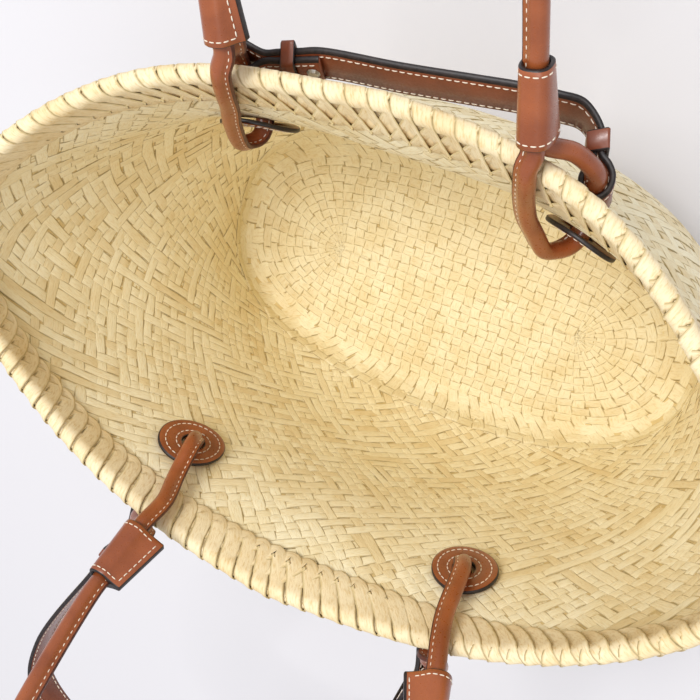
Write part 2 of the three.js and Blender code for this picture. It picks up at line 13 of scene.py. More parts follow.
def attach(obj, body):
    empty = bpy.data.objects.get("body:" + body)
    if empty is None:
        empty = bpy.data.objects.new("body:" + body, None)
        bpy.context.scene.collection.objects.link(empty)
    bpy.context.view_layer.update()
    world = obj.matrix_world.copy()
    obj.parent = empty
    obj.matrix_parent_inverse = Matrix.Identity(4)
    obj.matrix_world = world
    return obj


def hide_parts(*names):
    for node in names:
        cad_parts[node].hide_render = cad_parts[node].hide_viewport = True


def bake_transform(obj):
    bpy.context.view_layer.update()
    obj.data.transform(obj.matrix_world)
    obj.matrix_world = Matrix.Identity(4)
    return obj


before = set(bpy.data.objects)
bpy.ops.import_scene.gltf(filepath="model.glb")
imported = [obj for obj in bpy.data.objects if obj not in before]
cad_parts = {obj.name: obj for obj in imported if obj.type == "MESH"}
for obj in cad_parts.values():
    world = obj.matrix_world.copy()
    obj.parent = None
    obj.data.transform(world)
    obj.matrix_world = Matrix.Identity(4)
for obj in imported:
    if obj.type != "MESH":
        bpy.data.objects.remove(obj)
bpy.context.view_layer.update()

MM = 0.001
chance = np.random.default_rng(7)

# Basket, as in the CAD: level sections from the base (at 0) to the mouth (at 1)
BAG_HEIGHT = 256
SECTION_AT = [0.0, 0.35, 0.7, 1.0]
HALF_LENGTH = [170, 180, 206, 220]
HALF_WIDTH = [80, 116, 109, 137]
SHIFT_X = [0, 7, 6, 1]
SHIFT_Y = [0, 21, 18, 25]
FULLNESS = [2.7, 2.15, 1.95, 1.51]
WALL = 4
FOLD = 14
OVERHANG = 2.5

# Leather parts, as in the CAD
HOLE_DEPTH = 59
WASHER_RADIUS = 19
WASHER_HOLE = 6.3
WASHER_THICKNESS = 2.2
WASHER_GAP = 0.6
CORD = 3.9
STRAND_GAP = 0.8
SLEEVE_LENGTH = 31
SLEEVE_WALL = 1.5
SLEEVE_CLEARANCE = 0.7
SLEEVE_MOUTH = 17.4
SLEEVE_NECK = 9.8
SLEEVE_SPREAD = 1.2
FLANGE_THICKNESS = 3.2
SLEEVE_TAIL = 8
TAIL_DEPTH = 4
BRAID_WIDTH = 11
BRAID_BULGE = 2
STRAP_WIDTH = 20
STRAP_THICKNESS = 2.4
PLY_GAP = 0.5
WRAP_CLEARANCE = 1.0
KEEPER_LENGTH = 7
KEEPER_WALL = 1.5
KEEPER_CLEARANCE = 0.4
FREE_A = [(0.45, 14.4), (0.657, 18.2), (0.757, 20), (0.852, 21), (0.917, 20.8)]
ARCH_HEIGHT = 235
STRAP_B_REACH = 190
STRAP_B_STRAIGHT = 0.65

SIDE_A = {"name": "a", "sign": 1, "hinge": (159, BAG_HEIGHT + 12), "tilt": 28, "slant": 38}
SIDE_B = {"name": "b", "sign": -1, "hinge": (-90, BAG_HEIGHT + 7.5), "tilt": 66, "slant": 0}
# Each leg's drop and hang are the free points of its strand, and seam is the way its stitches face
LEGS = [
    {"side": SIDE_A, "name": "a_left", "hole_x": -76, "post": (-79, 139.5, 221), "base_x": -66,
     "lean": -0.15, "arch_lean": -0.15, "flange": 3.5, "seam": 1,
     "drop": [(-1.5, -12, -6), (-3.5, -22.5, -17), (-6, -30.5, -29), (-9.5, -39.5, -41)],
     "hang": [(-11.6, 13, -4), (-11.8, 6.5, -3.2), (-10.2, 2.2, -1.4)]},
    {"side": SIDE_A, "name": "a_right", "hole_x": 87.5, "post": (90, 140, 230.5), "base_x": 68,
     "lean": -0.2, "arch_lean": -0.2, "flange": 0, "seam": -1,
     "drop": [(0, -10, -4), (0, -18.5, -12), (0, -27, -23), (1.5, -36, -34), (5, -44, -45)],
     "hang": [(-11.6, 13, 9), (-11.8, 6.5, 5), (-10.2, 2.2, 1.8)]},
    {"side": SIDE_B, "name": "b_left", "hole_x": -79, "post": (-82, -103, 222), "base_x": -65,
     "lean": -0.04, "arch_lean": 0.15, "strap_lean": -0.42, "flange": 9, "seam": 1, "drop": None,
     "hang": [(-12.5, 13, 3.5), (-10.5, 3, 0.8)]},
    {"side": SIDE_B, "name": "b_right", "hole_x": 87.5, "post": (90, -104.5, 222), "base_x": 100,
     "lean": 0.3, "arch_lean": 0.3, "strap_lean": -0.15, "flange": -8, "seam": -1,
     "drop": [(-5.2, 6.6, -16), (-8.4, 10.4, -30)],
     "hang": [(-12.5, 13, 3.5), (-10.5, 3, 0.8)]},
]

# Camera: its place in millimetres and the way it looks, with the focal length in units of the picture's width
CAMERA_AT = (133.5, 220.6, 642.6)
CAMERA_RIGHT = (0.89293, 0.23999, -0.3809)
CAMERA_UP = (-0.36229, 0.8853, -0.29152)
CAMERA_BACK = (0.26725, 0.3983, 0.87746)
FOCAL_SHARE = 1.4351
SENSOR = 36


def make_camera():
    data = bpy.data.cameras.new("camera")
    data.sensor_width = SENSOR
    data.lens = SENSOR * FOCAL_SHARE
    camera = bpy.data.objects.new("camera", data)
    bpy.context.scene.collection.objects.link(camera)
    turn = Matrix((CAMERA_RIGHT, CAMERA_UP, CAMERA_BACK)).transposed()
    camera.matrix_world = Matrix.Translation(Vector(CAMERA_AT) * MM) @ turn.to_4x4()
    bpy.context.scene.camera = camera


make_camera()


# Plain vector help on arrays of points
def unit(v):
    length = np.linalg.norm(v, axis=-1, keepdims=True)
    return v / np.maximum(length, 1e-9)


def arr(*values):
    return np.array(values, float)


def turns(count):
    """Evenly stepped angles of one whole turn."""
    return np.arange(count) * 2 * math.pi / count


def lerp(a, b, share):
    return a + (b - a) * share


def smooth(share):
    return share * share * (3 - 2 * share)


UP = arr(0, 0, 1)


# Shape of the basket's wall
def between(values, t):
    """Smooth curve through the four section values."""
    total = 0
    for here, value in zip(SECTION_AT, values):
        weight = value
        for other in SECTION_AT:
            if other != here:
                weight = weight * (t - other) / (here - other)
        total = total + weight
    return total


def rise(theta):
    return (9 * np.cos(theta) + 7 * np.sin(theta) + 11 * np.cos(2 * theta) + 4 * np.sin(2 * theta)
            + 4 * np.cos(3 * theta) + 2.6 * np.sin(3 * theta) + 2.8 * np.cos(4 * theta))


def rim_height(theta):
    return BAG_HEIGHT + rise(theta)


def share_of(theta, z):
    """Share of the wall's height at which it reaches height z."""
    extra = rise(theta)
    extra = np.where(np.abs(extra) < 1e-3, 1e-3, extra)
    return (np.sqrt(BAG_HEIGHT**2 + 4 * extra * z) - BAG_HEIGHT) / (2 * extra)


def wall_point(theta, t, inset=0.0):
    """Point of the basket's outer face at angle theta and height share t, moved in by inset."""
    theta, t = np.broadcast_arrays(np.asarray(theta, float), np.asarray(t, float))
    z = t * BAG_HEIGHT + t * t * rise(theta)
    turn = FOLD - inset
    below = np.maximum(0, FOLD - np.maximum(z, inset))
    tuck = turn - np.sqrt(np.maximum(0, turn * turn - below * below))
    half_length = between(HALF_LENGTH, t) - inset - tuck
    half_width = between(HALF_WIDTH, t) - inset - tuck
    power = between(FULLNESS, t)
    c, s = np.cos(theta), np.sin(theta)
    radius = (np.abs(c / half_length) ** power + np.abs(s / half_width) ** power) ** (-1 / power)
    swell = (-0.018 * np.cos(3 * theta) - 0.039 * np.cos(4 * theta) + 0.011 * np.sin(3 * theta))
    reach = radius * (1 + t * t * swell)
    return np.stack([reach * c + between(SHIFT_X, t), reach * s + between(SHIFT_Y, t), z], -1)


def wall_frame(theta, t, inset=0.0):
    step = 0.002
    along = (wall_point(theta + step, t, inset) - wall_point(theta - step, t, inset)) / (2 * step)
    climb = (wall_point(theta, t + step, inset) - wall_point(theta, t - step, inset)) / (2 * step)
    return along, climb, unit(np.cross(along, climb))


def angle_at(sign, x, share_at, inset=0.0):
    low, high = 0.02, math.pi - 0.02
    for _ in range(50):
        middle = (low + high) / 2
        if wall_point(sign * middle, share_at(sign * middle), inset)[0] > x:
            low = middle
        else:
            high = middle
    return sign * (low + high) / 2


def place_at(sign, x, z):
    theta = angle_at(sign, x, lambda angle: share_of(angle, z))
    t = share_of(theta, z)
    return wall_point(theta, t), wall_frame(theta, t)[2]


def beside_braid(sign, x, z, reach):
    theta = angle_at(sign, x, lambda angle: 1.0)
    outward = unit(np.cross(wall_frame(theta, 1.0)[0], UP))
    edge = wall_point(theta, 1.0) + outward * reach
    return arr(edge[0], edge[1], z)


# Smooth curves through points
def smooth_points(points, count):
    """Centripetal curve through points, at count + 1 evenly stepped places."""
    points = [np.asarray(p, float) for p in points]
    last = len(points) - 1
    made = []
    for step in range(count + 1):
        place = last * step / count
        k = min(int(place), last - 1)
        share = place - k
        b, c = points[k], points[k + 1]
        a = points[k - 1] if k > 0 else 2 * b - c
        d = points[k + 2] if k + 2 <= last else 2 * c - b
        gap = [max(1e-4, float(np.dot(q - p, q - p)) ** 0.25) for p, q in ((a, b), (b, c), (c, d))]
        slope_b = ((b - a) / gap[0] - (c - a) / (gap[0] + gap[1]) + (c - b) / gap[1]) * gap[1]
        slope_c = ((c - b) / gap[1] - (d - b) / (gap[1] + gap[2]) + (d - c) / gap[2]) * gap[1]
        s2, s3 = share * share, share**3
        made.append(b * (2 * s3 - 3 * s2 + 1) + slope_b * (s3 - 2 * s2 + share)
                    + c * (3 * s2 - 2 * s3) + slope_c * (s3 - s2))
    return np.array(made)


def distances(line):
    """Distance along a line at each of its points."""
    return np.concatenate([[0], np.cumsum(np.linalg.norm(np.diff(line, axis=0), axis=1))])


def evenly(line, spacing):
    """The same line at even spacing."""
    reach = distances(line)
    at = np.linspace(0, reach[-1], max(2, int(round(reach[-1] / spacing))) + 1)
    return np.stack([np.interp(at, reach, values) for values in line.T], -1)


def along_line(line, closed=False):
    return unit(np.roll(line, -1, 0) - np.roll(line, 1, 0) if closed else np.gradient(line, axis=0))


# Meshes
class Shape:
    """Collects faces, with a tone for each vertex and a place on the strip for each corner."""

    def __init__(self):
        self.verts, self.faces, self.slots, self.tones, self.places, self.edge_shades = [], [], [], [], [], []
        self.count = 0

    # rim gives each vertex's share of painted shade, which the straw materials lay on the strips' edges
    def add(self, verts, faces, slots, tone=0.5, place=0.0, rim=0.0):
        verts = verts.reshape(-1, 3)
        self.faces.extend([[i + self.count for i in face] for face in faces])
        self.slots.extend(slots)
        self.verts.append(verts)
        self.tones.append(np.broadcast_to(tone, len(verts)))
        self.edge_shades.append(np.broadcast_to(rim, len(verts)))
        self.places.append(np.broadcast_to(place, (len(verts), 2)))
        self.count += len(verts)

    def tube(self, rings, closed=False, slot=0, side_slots=None, **look):
        """Rings of points joined into a solid, capped at both ends unless the rings close on themselves."""
        rings = np.asarray(rings, float)
        n, m = rings.shape[:2]
        last = n if closed else n - 1
        side = np.arange(m)[None, :]
        here = np.arange(last)[:, None] * m
        ahead = (np.arange(last)[:, None] + 1) % n * m
        beside = (side + 1) % m
        faces = np.stack([here + side, here + beside, ahead + beside, ahead + side], -1)
        faces = faces.reshape(-1, 4).tolist()
        slots = np.broadcast_to(slot if side_slots is None else side_slots, (last, m)).reshape(-1).tolist()
        if not closed:
            faces += [list(range(m))[::-1], [(n - 1) * m + k for k in range(m)]]
            slots += [slot, slot]
        self.add(rings, faces, slots, **look)

    def build(self, name, materials):
        mesh = bpy.data.meshes.new(name)
        verts = np.concatenate(self.verts) * MM
        mesh.from_pydata(verts.tolist(), [], self.faces)
        mesh.polygons.foreach_set("material_index", np.array(self.slots, np.int32))
        mesh.polygons.foreach_set("use_smooth", np.ones(len(self.faces), bool))
        for key, values in (("tone", self.tones), ("rim", self.edge_shades)):
            attribute = mesh.attributes.new(key, "FLOAT", "POINT")
            attribute.data.foreach_set("value", np.concatenate(values).astype(np.float32))
        layer = mesh.uv_layers.new(name="strip")
        corner = np.zeros(len(mesh.loops), np.int32)
        mesh.loops.foreach_get("vertex_index", corner)
        layer.data.foreach_set("uv", np.concatenate(self.places)[corner].astype(np.float32).ravel())
        for material in materials:
            mesh.materials.append(material)
        mesh.validate()
        piece = bpy.data.objects.new(name, mesh)
        bpy.context.scene.collection.objects.link(piece)
        return piece


def dress(piece, body, node, bend=None):
    """Parents a piece to its body and hides its CAD node; a piece given a bend is only baked in place, not
    parented, and the bend's points are not used.
    """
    if bend:
        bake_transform(piece)
    else:
        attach(piece, body)
    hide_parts(node)


# Materials
def colour(red, green, blue):
    """A screen colour from 0 to 255 as linear light."""
    shares = [v / 255 for v in (red, green, blue)]
    return (*(((v + 0.055) / 1.055) ** 2.4 if v > 0.04 else v / 12.92 for v in shares), 1)


def grey(value):
    return (value, value, value, 1)


class Nodes:
    """A material's nodes, round its own shader."""

    def __init__(self, name):
        self.material = bpy.data.materials.new(name)
        self.material.use_nodes = True
        self.tree = self.material.node_tree
        self.shader = self.tree.nodes["Principled BSDF"]

    def put(self, value, socket):
        """Another node's output, or a constant, on a socket."""
        if hasattr(value, "node"):
            self.tree.links.new(value, socket)
        else:
            socket.default_value = value

    def new(self, kind, **values):
        node = self.tree.nodes.new("ShaderNode" + kind)
        for key, value in values.items():
            if hasattr(node, key):
                setattr(node, key, value)
            else:
                self.put(value, node.inputs[key])
        return node

    def texture(self, kind, vector=None, **values):
        """A texture's factor, over the object's own places or over another vector."""
        if vector is None:
            vector = self.new("TexCoord").outputs["Object"]
        node = self.new("Tex" + kind, Vector=vector, **values)
        return node.outputs["Distance" if kind == "Voronoi" else "Fac"]

    def ramp(self, fac, *stops):
        node = self.new("ValToRGB", Fac=fac)
        elements = node.color_ramp.elements
        while len(elements) < len(stops):
            elements.new(0.5)
        for element, (place, shade) in zip(elements, stops):
            element.position = place
            element.color = shade
        return node.outputs["Color"]

    def mix(self, fac, one, two, blend="MIX"):
        node = self.new("Mix", data_type="RGBA", blend_type=blend)
        for index, value in ((0, fac), (6, one), (7, two)):
            self.put(value, node.inputs[index])
        return node.outputs[2]

    def bump(self, height, strength, distance, **under):
        node = self.new("Bump", Strength=strength, Distance=distance, Height=height, **under)
        return node.outputs["Normal"]

    def finish(self, **values):
        """Sets or links the shader's own sockets, by name with _ for a space."""
        for key, value in values.items():
            self.put(value, self.shader.inputs[key.replace("_", " ")])
        return self.material


WHITE = grey(1)
FIBRE_STRETCH = (3.2, 0.16, 1)


def straw_material(name, *colours):
    """Dried leaf strips: a tone for each strip, long fibres along it, blotches, and painted shade towards the
    strips' edges, set by the rim attribute.
    """
    pale, deep, fibre, shade = (colour(*values) for values in colours)
    m = Nodes(name)
    tone, rim = (m.new("Attribute", attribute_name=key).outputs["Fac"] for key in ("tone", "rim"))
    strip = m.new("UVMap", uv_map="strip").outputs["UV"]
    stretched = m.new("Mapping", Scale=FIBRE_STRETCH, Vector=strip).outputs["Vector"]
    fibres = m.texture("Noise", stretched, Scale=1.4, Detail=5, Roughness=0.65)
    blotch = m.texture("Noise", Scale=42, Detail=3)
    by_strip = m.ramp(tone, (0, deep), (0.6, pale), (1, pale))
    streaked = m.mix(0.7, by_strip, m.ramp(fibres, (0.32, fibre), (0.52, WHITE)), "MULTIPLY")
    mottled = m.mix(0.35, streaked, m.ramp(blotch, (0.35, fibre), (0.6, WHITE)), "MULTIPLY")
    # Painted shade: the rim attribute mixes the strips' edges towards the shade colour, for the dark lines
    # where strips meet
    edge_shaded = m.mix(m.ramp(rim, (0.35, grey(0)), (1, grey(0.8))), mottled, shade)
    rough = m.ramp(fibres, (0.3, grey(0.72)), (0.7, grey(0.48)))
    relief = m.bump(fibres, 0.55, 0.0006)
    return m.finish(Base_Color=edge_shaded, Roughness=rough, Specular_IOR_Level=0.3, Normal=relief)


def leather_material(name, light, dark, rough):
    """Smooth tan leather: cloudy dye, fine pores and a soft gloss."""
    light, dark = colour(*light), colour(*dark)
    m = Nodes(name)
    spot = m.new("TexCoord").outputs["Object"]
    cloud = m.texture("Noise", spot, Scale=60, Detail=4)
    fine = m.texture("Noise", spot, Scale=900, Detail=3)
    pores = m.texture("Voronoi", spot, Scale=1500)
    dye = m.ramp(cloud, (0.3, dark), (0.7, light))
    speckled = m.mix(0.12, dye, m.ramp(fine, (0.35, dark), (0.65, light)))
    gloss = m.ramp(fine, (0.3, grey(rough + 0.12)), (0.7, grey(rough - 0.05)))
    grain = m.bump(fine, 0.15, 0.0002, Normal=m.bump(pores, 0.12, 0.0002))
    return m.finish(Base_Color=speckled, Roughness=gloss, Coat_Weight=0.4, Coat_Roughness=0.25, Normal=grain)


def patterned_material(name, kind, dark, light, rough, relief=None, metallic=0, **pattern):
    """Two tones of one fine pattern, which is noise or the waves of twisted thread."""
    m = Nodes(name)
    fac = m.texture(kind, **pattern)
    low, high = (0.3, 0.7) if kind == "Noise" else (0, 1)
    tones = m.ramp(fac, (low, colour(*dark)), (high, colour(*light)))
    m.finish(Base_Color=tones, Roughness=rough, Metallic=metallic)
    return m.finish(Normal=m.bump(fac, *relief)) if relief else m.material


# Colours of each straw: pale, deep, fibre, and the painted shade laid on the strips' edges
STRAW = straw_material("straw", (250, 240, 206), (238, 221, 178), (238, 224, 190), (160, 132, 68))
BASE_STRAW = straw_material("base_straw", (240, 228, 190), (228, 211, 168), (234, 219, 182), (156, 128, 66))
PLAIT = straw_material("plait", (240, 223, 184), (234, 212, 166), (226, 206, 160), (184, 163, 110))
BACKING = straw_material("backing", (222, 200, 146), (210, 186, 130), (236, 220, 184), (176, 148, 88))
LEATHER = leather_material("leather", (160, 86, 44), (128, 63, 29), 0.3)
STRAP_LEATHER = leather_material("strap_leather", (138, 70, 38), (110, 52, 27), 0.4)
PAINT = {"rough": 0.45, "relief": (0.2, 0.0003), "Scale": 500}
EDGE = patterned_material("painted_edge", "Noise", (20, 15, 14), (44, 34, 32), **PAINT)
BURNISHED = patterned_material("burnished_edge", "Noise", (66, 28, 16), (98, 46, 26), **PAINT)
THREAD = patterned_material("waxed_thread", "Wave", (214, 196, 170), (246, 236, 220), 0.6, (0.3, 0.0002),
                            Scale=900, Distortion=1.5)
STEEL = patterned_material("brushed_steel", "Noise", (190, 188, 184), (222, 220, 216), 0.3, metallic=1,
                           Scale=700)
FIBRE = patterned_material("fibre_core", "Wave", (176, 160, 130), (220, 208, 182), 0.9, (0.6, 0.0005),
                           Scale=300, Distortion=4)


# Woven strips: flat ribbons that pass over and under each other
RIBBON = [(-1, 0), (-0.88, 0.66), (-0.66, 0.96), (0, 0.84), (0.66, 0.96), (0.88, 0.66),
          (1, 0), (0.88, -0.66), (0.66, -0.96), (0, -0.84), (-0.66, -0.96), (-0.88, -0.66)]
# Painted shade at each point of the ribbon's section: strong at the edges, slight in the middle groove
RIBBON_EDGE_SHADE = [1, 0.8, 0, 0.4, 0, 0.8, 1, 0.8, 0, 0.4, 0, 0.8]


def ribbon(shape, centres, across, outward, half_width, height, swell, tone, closed=False):
    """One strip from its middle line, its sideways and outward directions and the height that it rides at."""
    centres = centres + outward * height[:, None]
    half = half_width[:, None]
    rings = np.stack([centres + across * half * side + outward * (lift * swell) for side, lift in RIBBON], 1)
    offset = chance.uniform(0, 50)
    place = np.zeros((*rings.shape[:2], 2))
    place[:, :, 0] = np.array([side for side, _ in RIBBON])[None, :] + offset
    place[:, :, 1] = distances(centres)[:, None] + offset
    shape.tube(rings, closed, tone=tone, place=place.reshape(-1, 2), rim=np.tile(RIBBON_EDGE_SHADE, len(centres)))


# Samples from one crossing to the next, half a strip's thickness, and how high it rides over and under
SAMPLES = 3
STRIP_SWELL = 0.37
RIDE = 0.3
# A strip wanders and ripples by waves whose start is drawn from 0 to this
PHASES = 6

# Wall weave: two crossing families of slanting strips
WALL_STRIPS = 104
WALL_ROWS = 54
WALL_INSET = OVERHANG + WALL / 2
WALL_FOOT = 12
TOP_TUCK = 7
WALL_WANDER = 0.09
WALL_WIDTHS = (0.95, 1.13)
WALL_RIPPLE = 0.08
# Share of the height at which the strips are evenly spaced
EVEN_AT = 0.55
# Rows of one kind of weave before the next, and the share of crossings that are missed
ZONE_ROWS = 9
MISSED_SHARE = 0.13
MISSED = np.random.default_rng(3).random((WALL_STRIPS, WALL_ROWS + 1)) < MISSED_SHARE
# The strips end at a hole's edge, within this depth of its middle
CUT_RADIUS = 5.8
CUT_DEPTH = 12


def arc_angles():
    """Angles of the wall at even steps of distance round it, at about its middle height."""
    theta = np.linspace(0, 2 * math.pi, 2001)
    reach = distances(wall_point(theta, EVEN_AT))
    return lambda share: np.interp(np.mod(share, 1) * reach[-1], reach, theta) + 2 * math.pi * np.floor(share)


ROUND = arc_angles()


def wall_place(column, row):
    """Point, outward direction and column step of the wall weave."""
    share = column / WALL_STRIPS
    theta = ROUND(share)
    foot = share_of(theta, WALL_FOOT)
    top = share_of(theta, rim_height(theta) - TOP_TUCK)
    t = foot + (top - foot) * (row / WALL_ROWS)
    point = wall_point(theta, t, WALL_INSET)
    beside = wall_point(ROUND(share + 0.5 / WALL_STRIPS), t, WALL_INSET)
    return point, wall_frame(theta, t, WALL_INSET)[2], 2 * (beside - point)


def first_family_outside(strip, row):
    """True where the strip that leans one way passes outside the other, at a crossing."""
    other = strip + row
    band = (row + 2 * ((strip * 3) // 17)) // ZONE_ROWS
    plain = row % 2 == 0
    floats = (strip + 2 * other) % 4 != 0
    outside = floats if band % 2 == 0 else plain
    return outside != MISSED[strip % WALL_STRIPS, row]


def near_hole(points):
    near = np.zeros(len(points), bool)
    for leg in LEGS:
        outward = leg["hole"]["outward"]
        gap = points - leg["hole"]["middle"]
        depth = gap @ outward
        off = np.linalg.norm(gap - depth[:, None] * outward, axis=1)
        near |= (off < CUT_RADIUS) & (np.abs(depth) < CUT_DEPTH)
    return near


def wall_weave():
    shape = Shape()
    rows = np.arange(0, WALL_ROWS * SAMPLES + 1) / SAMPLES
    crossings = np.arange(WALL_ROWS + 1)
    for lean in (1, -1):
        for strip in range(WALL_STRIPS):
            if lean == 1:
                out = np.array([first_family_outside(strip, k) for k in crossings])
            else:
                out = np.array([not first_family_outside(strip - k, k) for k in crossings])
            ride = np.where(out, 1.0, -1.0)
            low = np.minimum(rows.astype(int), WALL_ROWS - 1)
            height = RIDE * lerp(ride[low], ride[low + 1], smooth(rows - low))
            wander = chance.normal(0, WALL_WANDER)
            wander += WALL_WANDER * np.sin(rows * chance.uniform(0.3, 0.9) + chance.uniform(0, PHASES))
            point, outward, step = wall_place(strip + lean * rows / 2 + wander, rows)
            across = unit(np.cross(outward, along_line(point)))
            width = np.abs(np.sum(across * step, 1)) / 2 * chance.uniform(*WALL_WIDTHS)
            width = width * (1 + WALL_RIPPLE * np.sin(rows * 1.7 + chance.uniform(0, PHASES)))
            tone = chance.uniform(0, 1)
            keep = ~near_hole(point)
            cuts = np.flatnonzero(np.diff(np.concatenate([[False], keep, [False]]).astype(int)))
            for start, stop in zip(cuts[::2], cuts[1::2]):
                if stop - start > 2:
                    s = slice(start, stop)
                    ribbon(shape, point[s], across[s], outward[s], width[s], height[s], STRIP_SWELL, tone)
    return shape.build("wall_weave", [STRAW])


# Base weave: rings round the middle line, crossed by spokes that fan out at both ends
MIDDLE_LINE = 86
RINGS = 11
RINGS_UP = 3
STRAIGHT_SPOKES = 24
FAN_SPOKES = 15
SPOKES = 2 * (STRAIGHT_SPOKES + FAN_SPOKES)
SPOKE_START = -0.15
RING_PITCH = 7
BASE_WANDER = 0.11
BASE_WIDTHS = (0.98, 1.08)
BASE_TONES = (0.3, 1)
WIDEST_SPOKE = 6.6
WIDEST_RING = 5.2
TUCK = 0.5


def spoke_start(spoke):
    """Foot on the middle line and heading of a spoke, counted round the base."""
    spoke = np.mod(spoke, SPOKES)
    side = spoke // (STRAIGHT_SPOKES + FAN_SPOKES)
    rest = spoke - side * (STRAIGHT_SPOKES + FAN_SPOKES)
    straight = np.clip(rest / STRAIGHT_SPOKES, 0, 1)
    turn = np.clip((rest - STRAIGHT_SPOKES) / FAN_SPOKES, 0, 1) * math.pi
    flip = np.where(side == 0, 1, -1)
    foot = np.stack([flip * lerp(-MIDDLE_LINE, MIDDLE_LINE, straight), 0 * rest], -1)
    heading = np.stack([flip * np.sin(turn), flip * np.cos(turn)], -1)
    return foot, heading


def base_edge_angles():
    """Angle of the wall where each spoke meets the edge of the flat base."""
    theta = np.linspace(-math.pi, math.pi, 7201)
    edge = wall_point(theta, 0.0, WALL_INSET)[:, :2]
    spokes = np.arange(0, SPOKES * 4 + 1) / 4
    foot, heading = spoke_start(spokes)
    found = []
    for f, h in zip(foot, heading):
        gap = edge - f
        side = np.abs(gap[:, 0] * h[1] - gap[:, 1] * h[0])
        side[gap @ h < 0] = 1e9
        found.append(theta[np.argmin(side)])
    return spokes, -np.unwrap(-np.array(found))


EDGE_SPOKES, EDGE_ANGLES = base_edge_angles()


def fold_place(theta, climb):
    """Point of the woven skin a distance up from the edge of the flat base, round the fold."""
    radius = FOLD - WALL_INSET
    bend = np.clip(climb / radius, 0, math.pi / 2)
    z = WALL_INSET + radius * (1 - np.cos(bend)) + np.maximum(0, climb - radius * math.pi / 2)
    wall = wall_point(theta, share_of(theta, z), WALL_INSET)
    sink = (WALL_INSET - WALL / 2) * (1 - bend / (math.pi / 2))
    return wall - UP * np.asarray(sink)[..., None]


def base_place(spoke, ring):
    """Point of the base weave, which turns up into the wall past its last flat ring."""
    spoke = np.asarray(spoke, float)
    theta = np.interp(np.mod(spoke, SPOKES), EDGE_SPOKES, EDGE_ANGLES)
    foot, _ = spoke_start(spoke)
    edge = fold_place(theta, 0.0)
    share = np.clip(ring / RINGS, -0.02, 1)
    flat = foot + (edge[..., :2] - foot) * share[..., None]
    lifted = np.concatenate([flat, edge[..., 2:]], -1)
    climbing = fold_place(theta, np.maximum(0, ring - RINGS) * RING_PITCH)
    return np.where((ring > RINGS)[..., None], climbing, lifted)


def base_normal(spoke, ring):
    step = 0.1
    one = base_place(spoke + step, ring) - base_place(spoke - step, ring)
    two = base_place(spoke, ring + step) - base_place(spoke, ring - step)
    normal = np.cross(two, one)
    weak = np.linalg.norm(normal, axis=-1) < 1e-6
    normal[weak] = -UP
    normal = unit(normal)
    normal[ring < RINGS - 1] = -UP
    return normal


def tuck_in(rings):
    """The base's strips pass to the inside of the wall's where both climb the fold."""
    return TUCK * smooth(np.clip((rings - RINGS - 1) / 1.5, 0, 1))


def base_strip(shape, spokes, rings, ride, beside, widest, closed=False):
    """One strip of the base; beside is half the step to its neighbour, in spokes and rings."""
    point = base_place(spokes, rings)
    outward = base_normal(spokes, rings)
    height = RIDE * np.sign(ride) * np.abs(ride) ** 0.6 - tuck_in(rings)
    there, back = (base_place(spokes + way * beside[0], rings + way * beside[1]) for way in (1, -1))
    across = unit(np.cross(outward, along_line(point, closed)))
    width = np.abs(np.sum(across * (there - back), 1)) / 2 * chance.uniform(*BASE_WIDTHS)
    ribbon(shape, point, across, outward, np.minimum(width, widest), height, STRIP_SWELL,
           chance.uniform(*BASE_TONES), closed)


def base_weave():
    shape = Shape()
    top = RINGS + RINGS_UP
    for spoke in range(SPOKES):
        rings = np.arange(0, top * SAMPLES + 1) / SAMPLES
        rings[0] = SPOKE_START
        spokes = spoke + 0.5 + BASE_WANDER * np.sin(rings * 1.3 + chance.uniform(0, PHASES))
        ride = np.cos(math.pi * (rings - 0.5 + spoke))
        base_strip(shape, spokes, rings, ride, (0.5, 0), WIDEST_SPOKE)
    for ring in range(top):
        spokes = np.arange(0, SPOKES * SAMPLES) / SAMPLES
        waves = 2 * math.pi * chance.integers(9, 16) / SPOKES
        rings = ring + 0.5 + BASE_WANDER * np.sin(spokes * waves + chance.uniform(0, PHASES))
        ride = -np.cos(math.pi * (spokes - 0.5 + ring))
        base_strip(shape, spokes, rings, ride, (0, 0.5), WIDEST_RING, closed=True)
    return shape.build("base_weave", [BASE_STRAW])


# Lining: how far it climbs round the fold before it follows the wall
BACKING_HALF = 0.02
BACKING_STEPS = 360
BACKING_CLIMB = 15.0


def backing_shell():
    """Thin inner layer that shuts the gaps between the strips."""
    shape = Shape()
    theta = np.linspace(0, 2 * math.pi, BACKING_STEPS, endpoint=False)
    start = share_of(theta, fold_place(theta, BACKING_CLIMB)[:, 2])
    end = share_of(theta, rim_height(theta) - TOP_TUCK)
    layers = []
    for side in (BACKING_HALF, -BACKING_HALF):
        rings = [fold_place(theta, 0.0) * arr(share, share, 1) - UP * side for share in (0.25, 0.6, 0.9)]
        for climb in np.linspace(0, BACKING_CLIMB, 11):
            ring = fold_place(theta, float(climb))
            turned = climb / BACKING_CLIMB
            rings.append(ring + (unit(ring * arr(1, 1, 0)) * turned - UP * (1 - turned)) * side)
        rings += [wall_point(theta, lerp(start, end, share), WALL_INSET - side)
                  for share in np.linspace(0, 1, 24)[1:]]
        layers.append(rings)
    shape.tube(np.array(layers[0] + layers[1][::-1]))
    return shape.build("basket_lining", [BACKING])


# Plaited border: flat strands that zigzag over the rim, from its inner face to its outer face
BORDER_STRANDS = 5
BORDER_EAR = 10.2
BORDER_RIDGE = 4
BORDER_TILT = 0.09
BORDER_HALF = 19
BORDER_SHIFT = -4
BORDER_ROUND = 3.6
BORDER_LIFT = 0.8
BORDER_THICKNESS = 0.6
BORDER_SWELL = 0.55
BORDER_RIDE = 0.42
BORDER_WIDTH = 4.5
BORDER_SKIN = 0.45
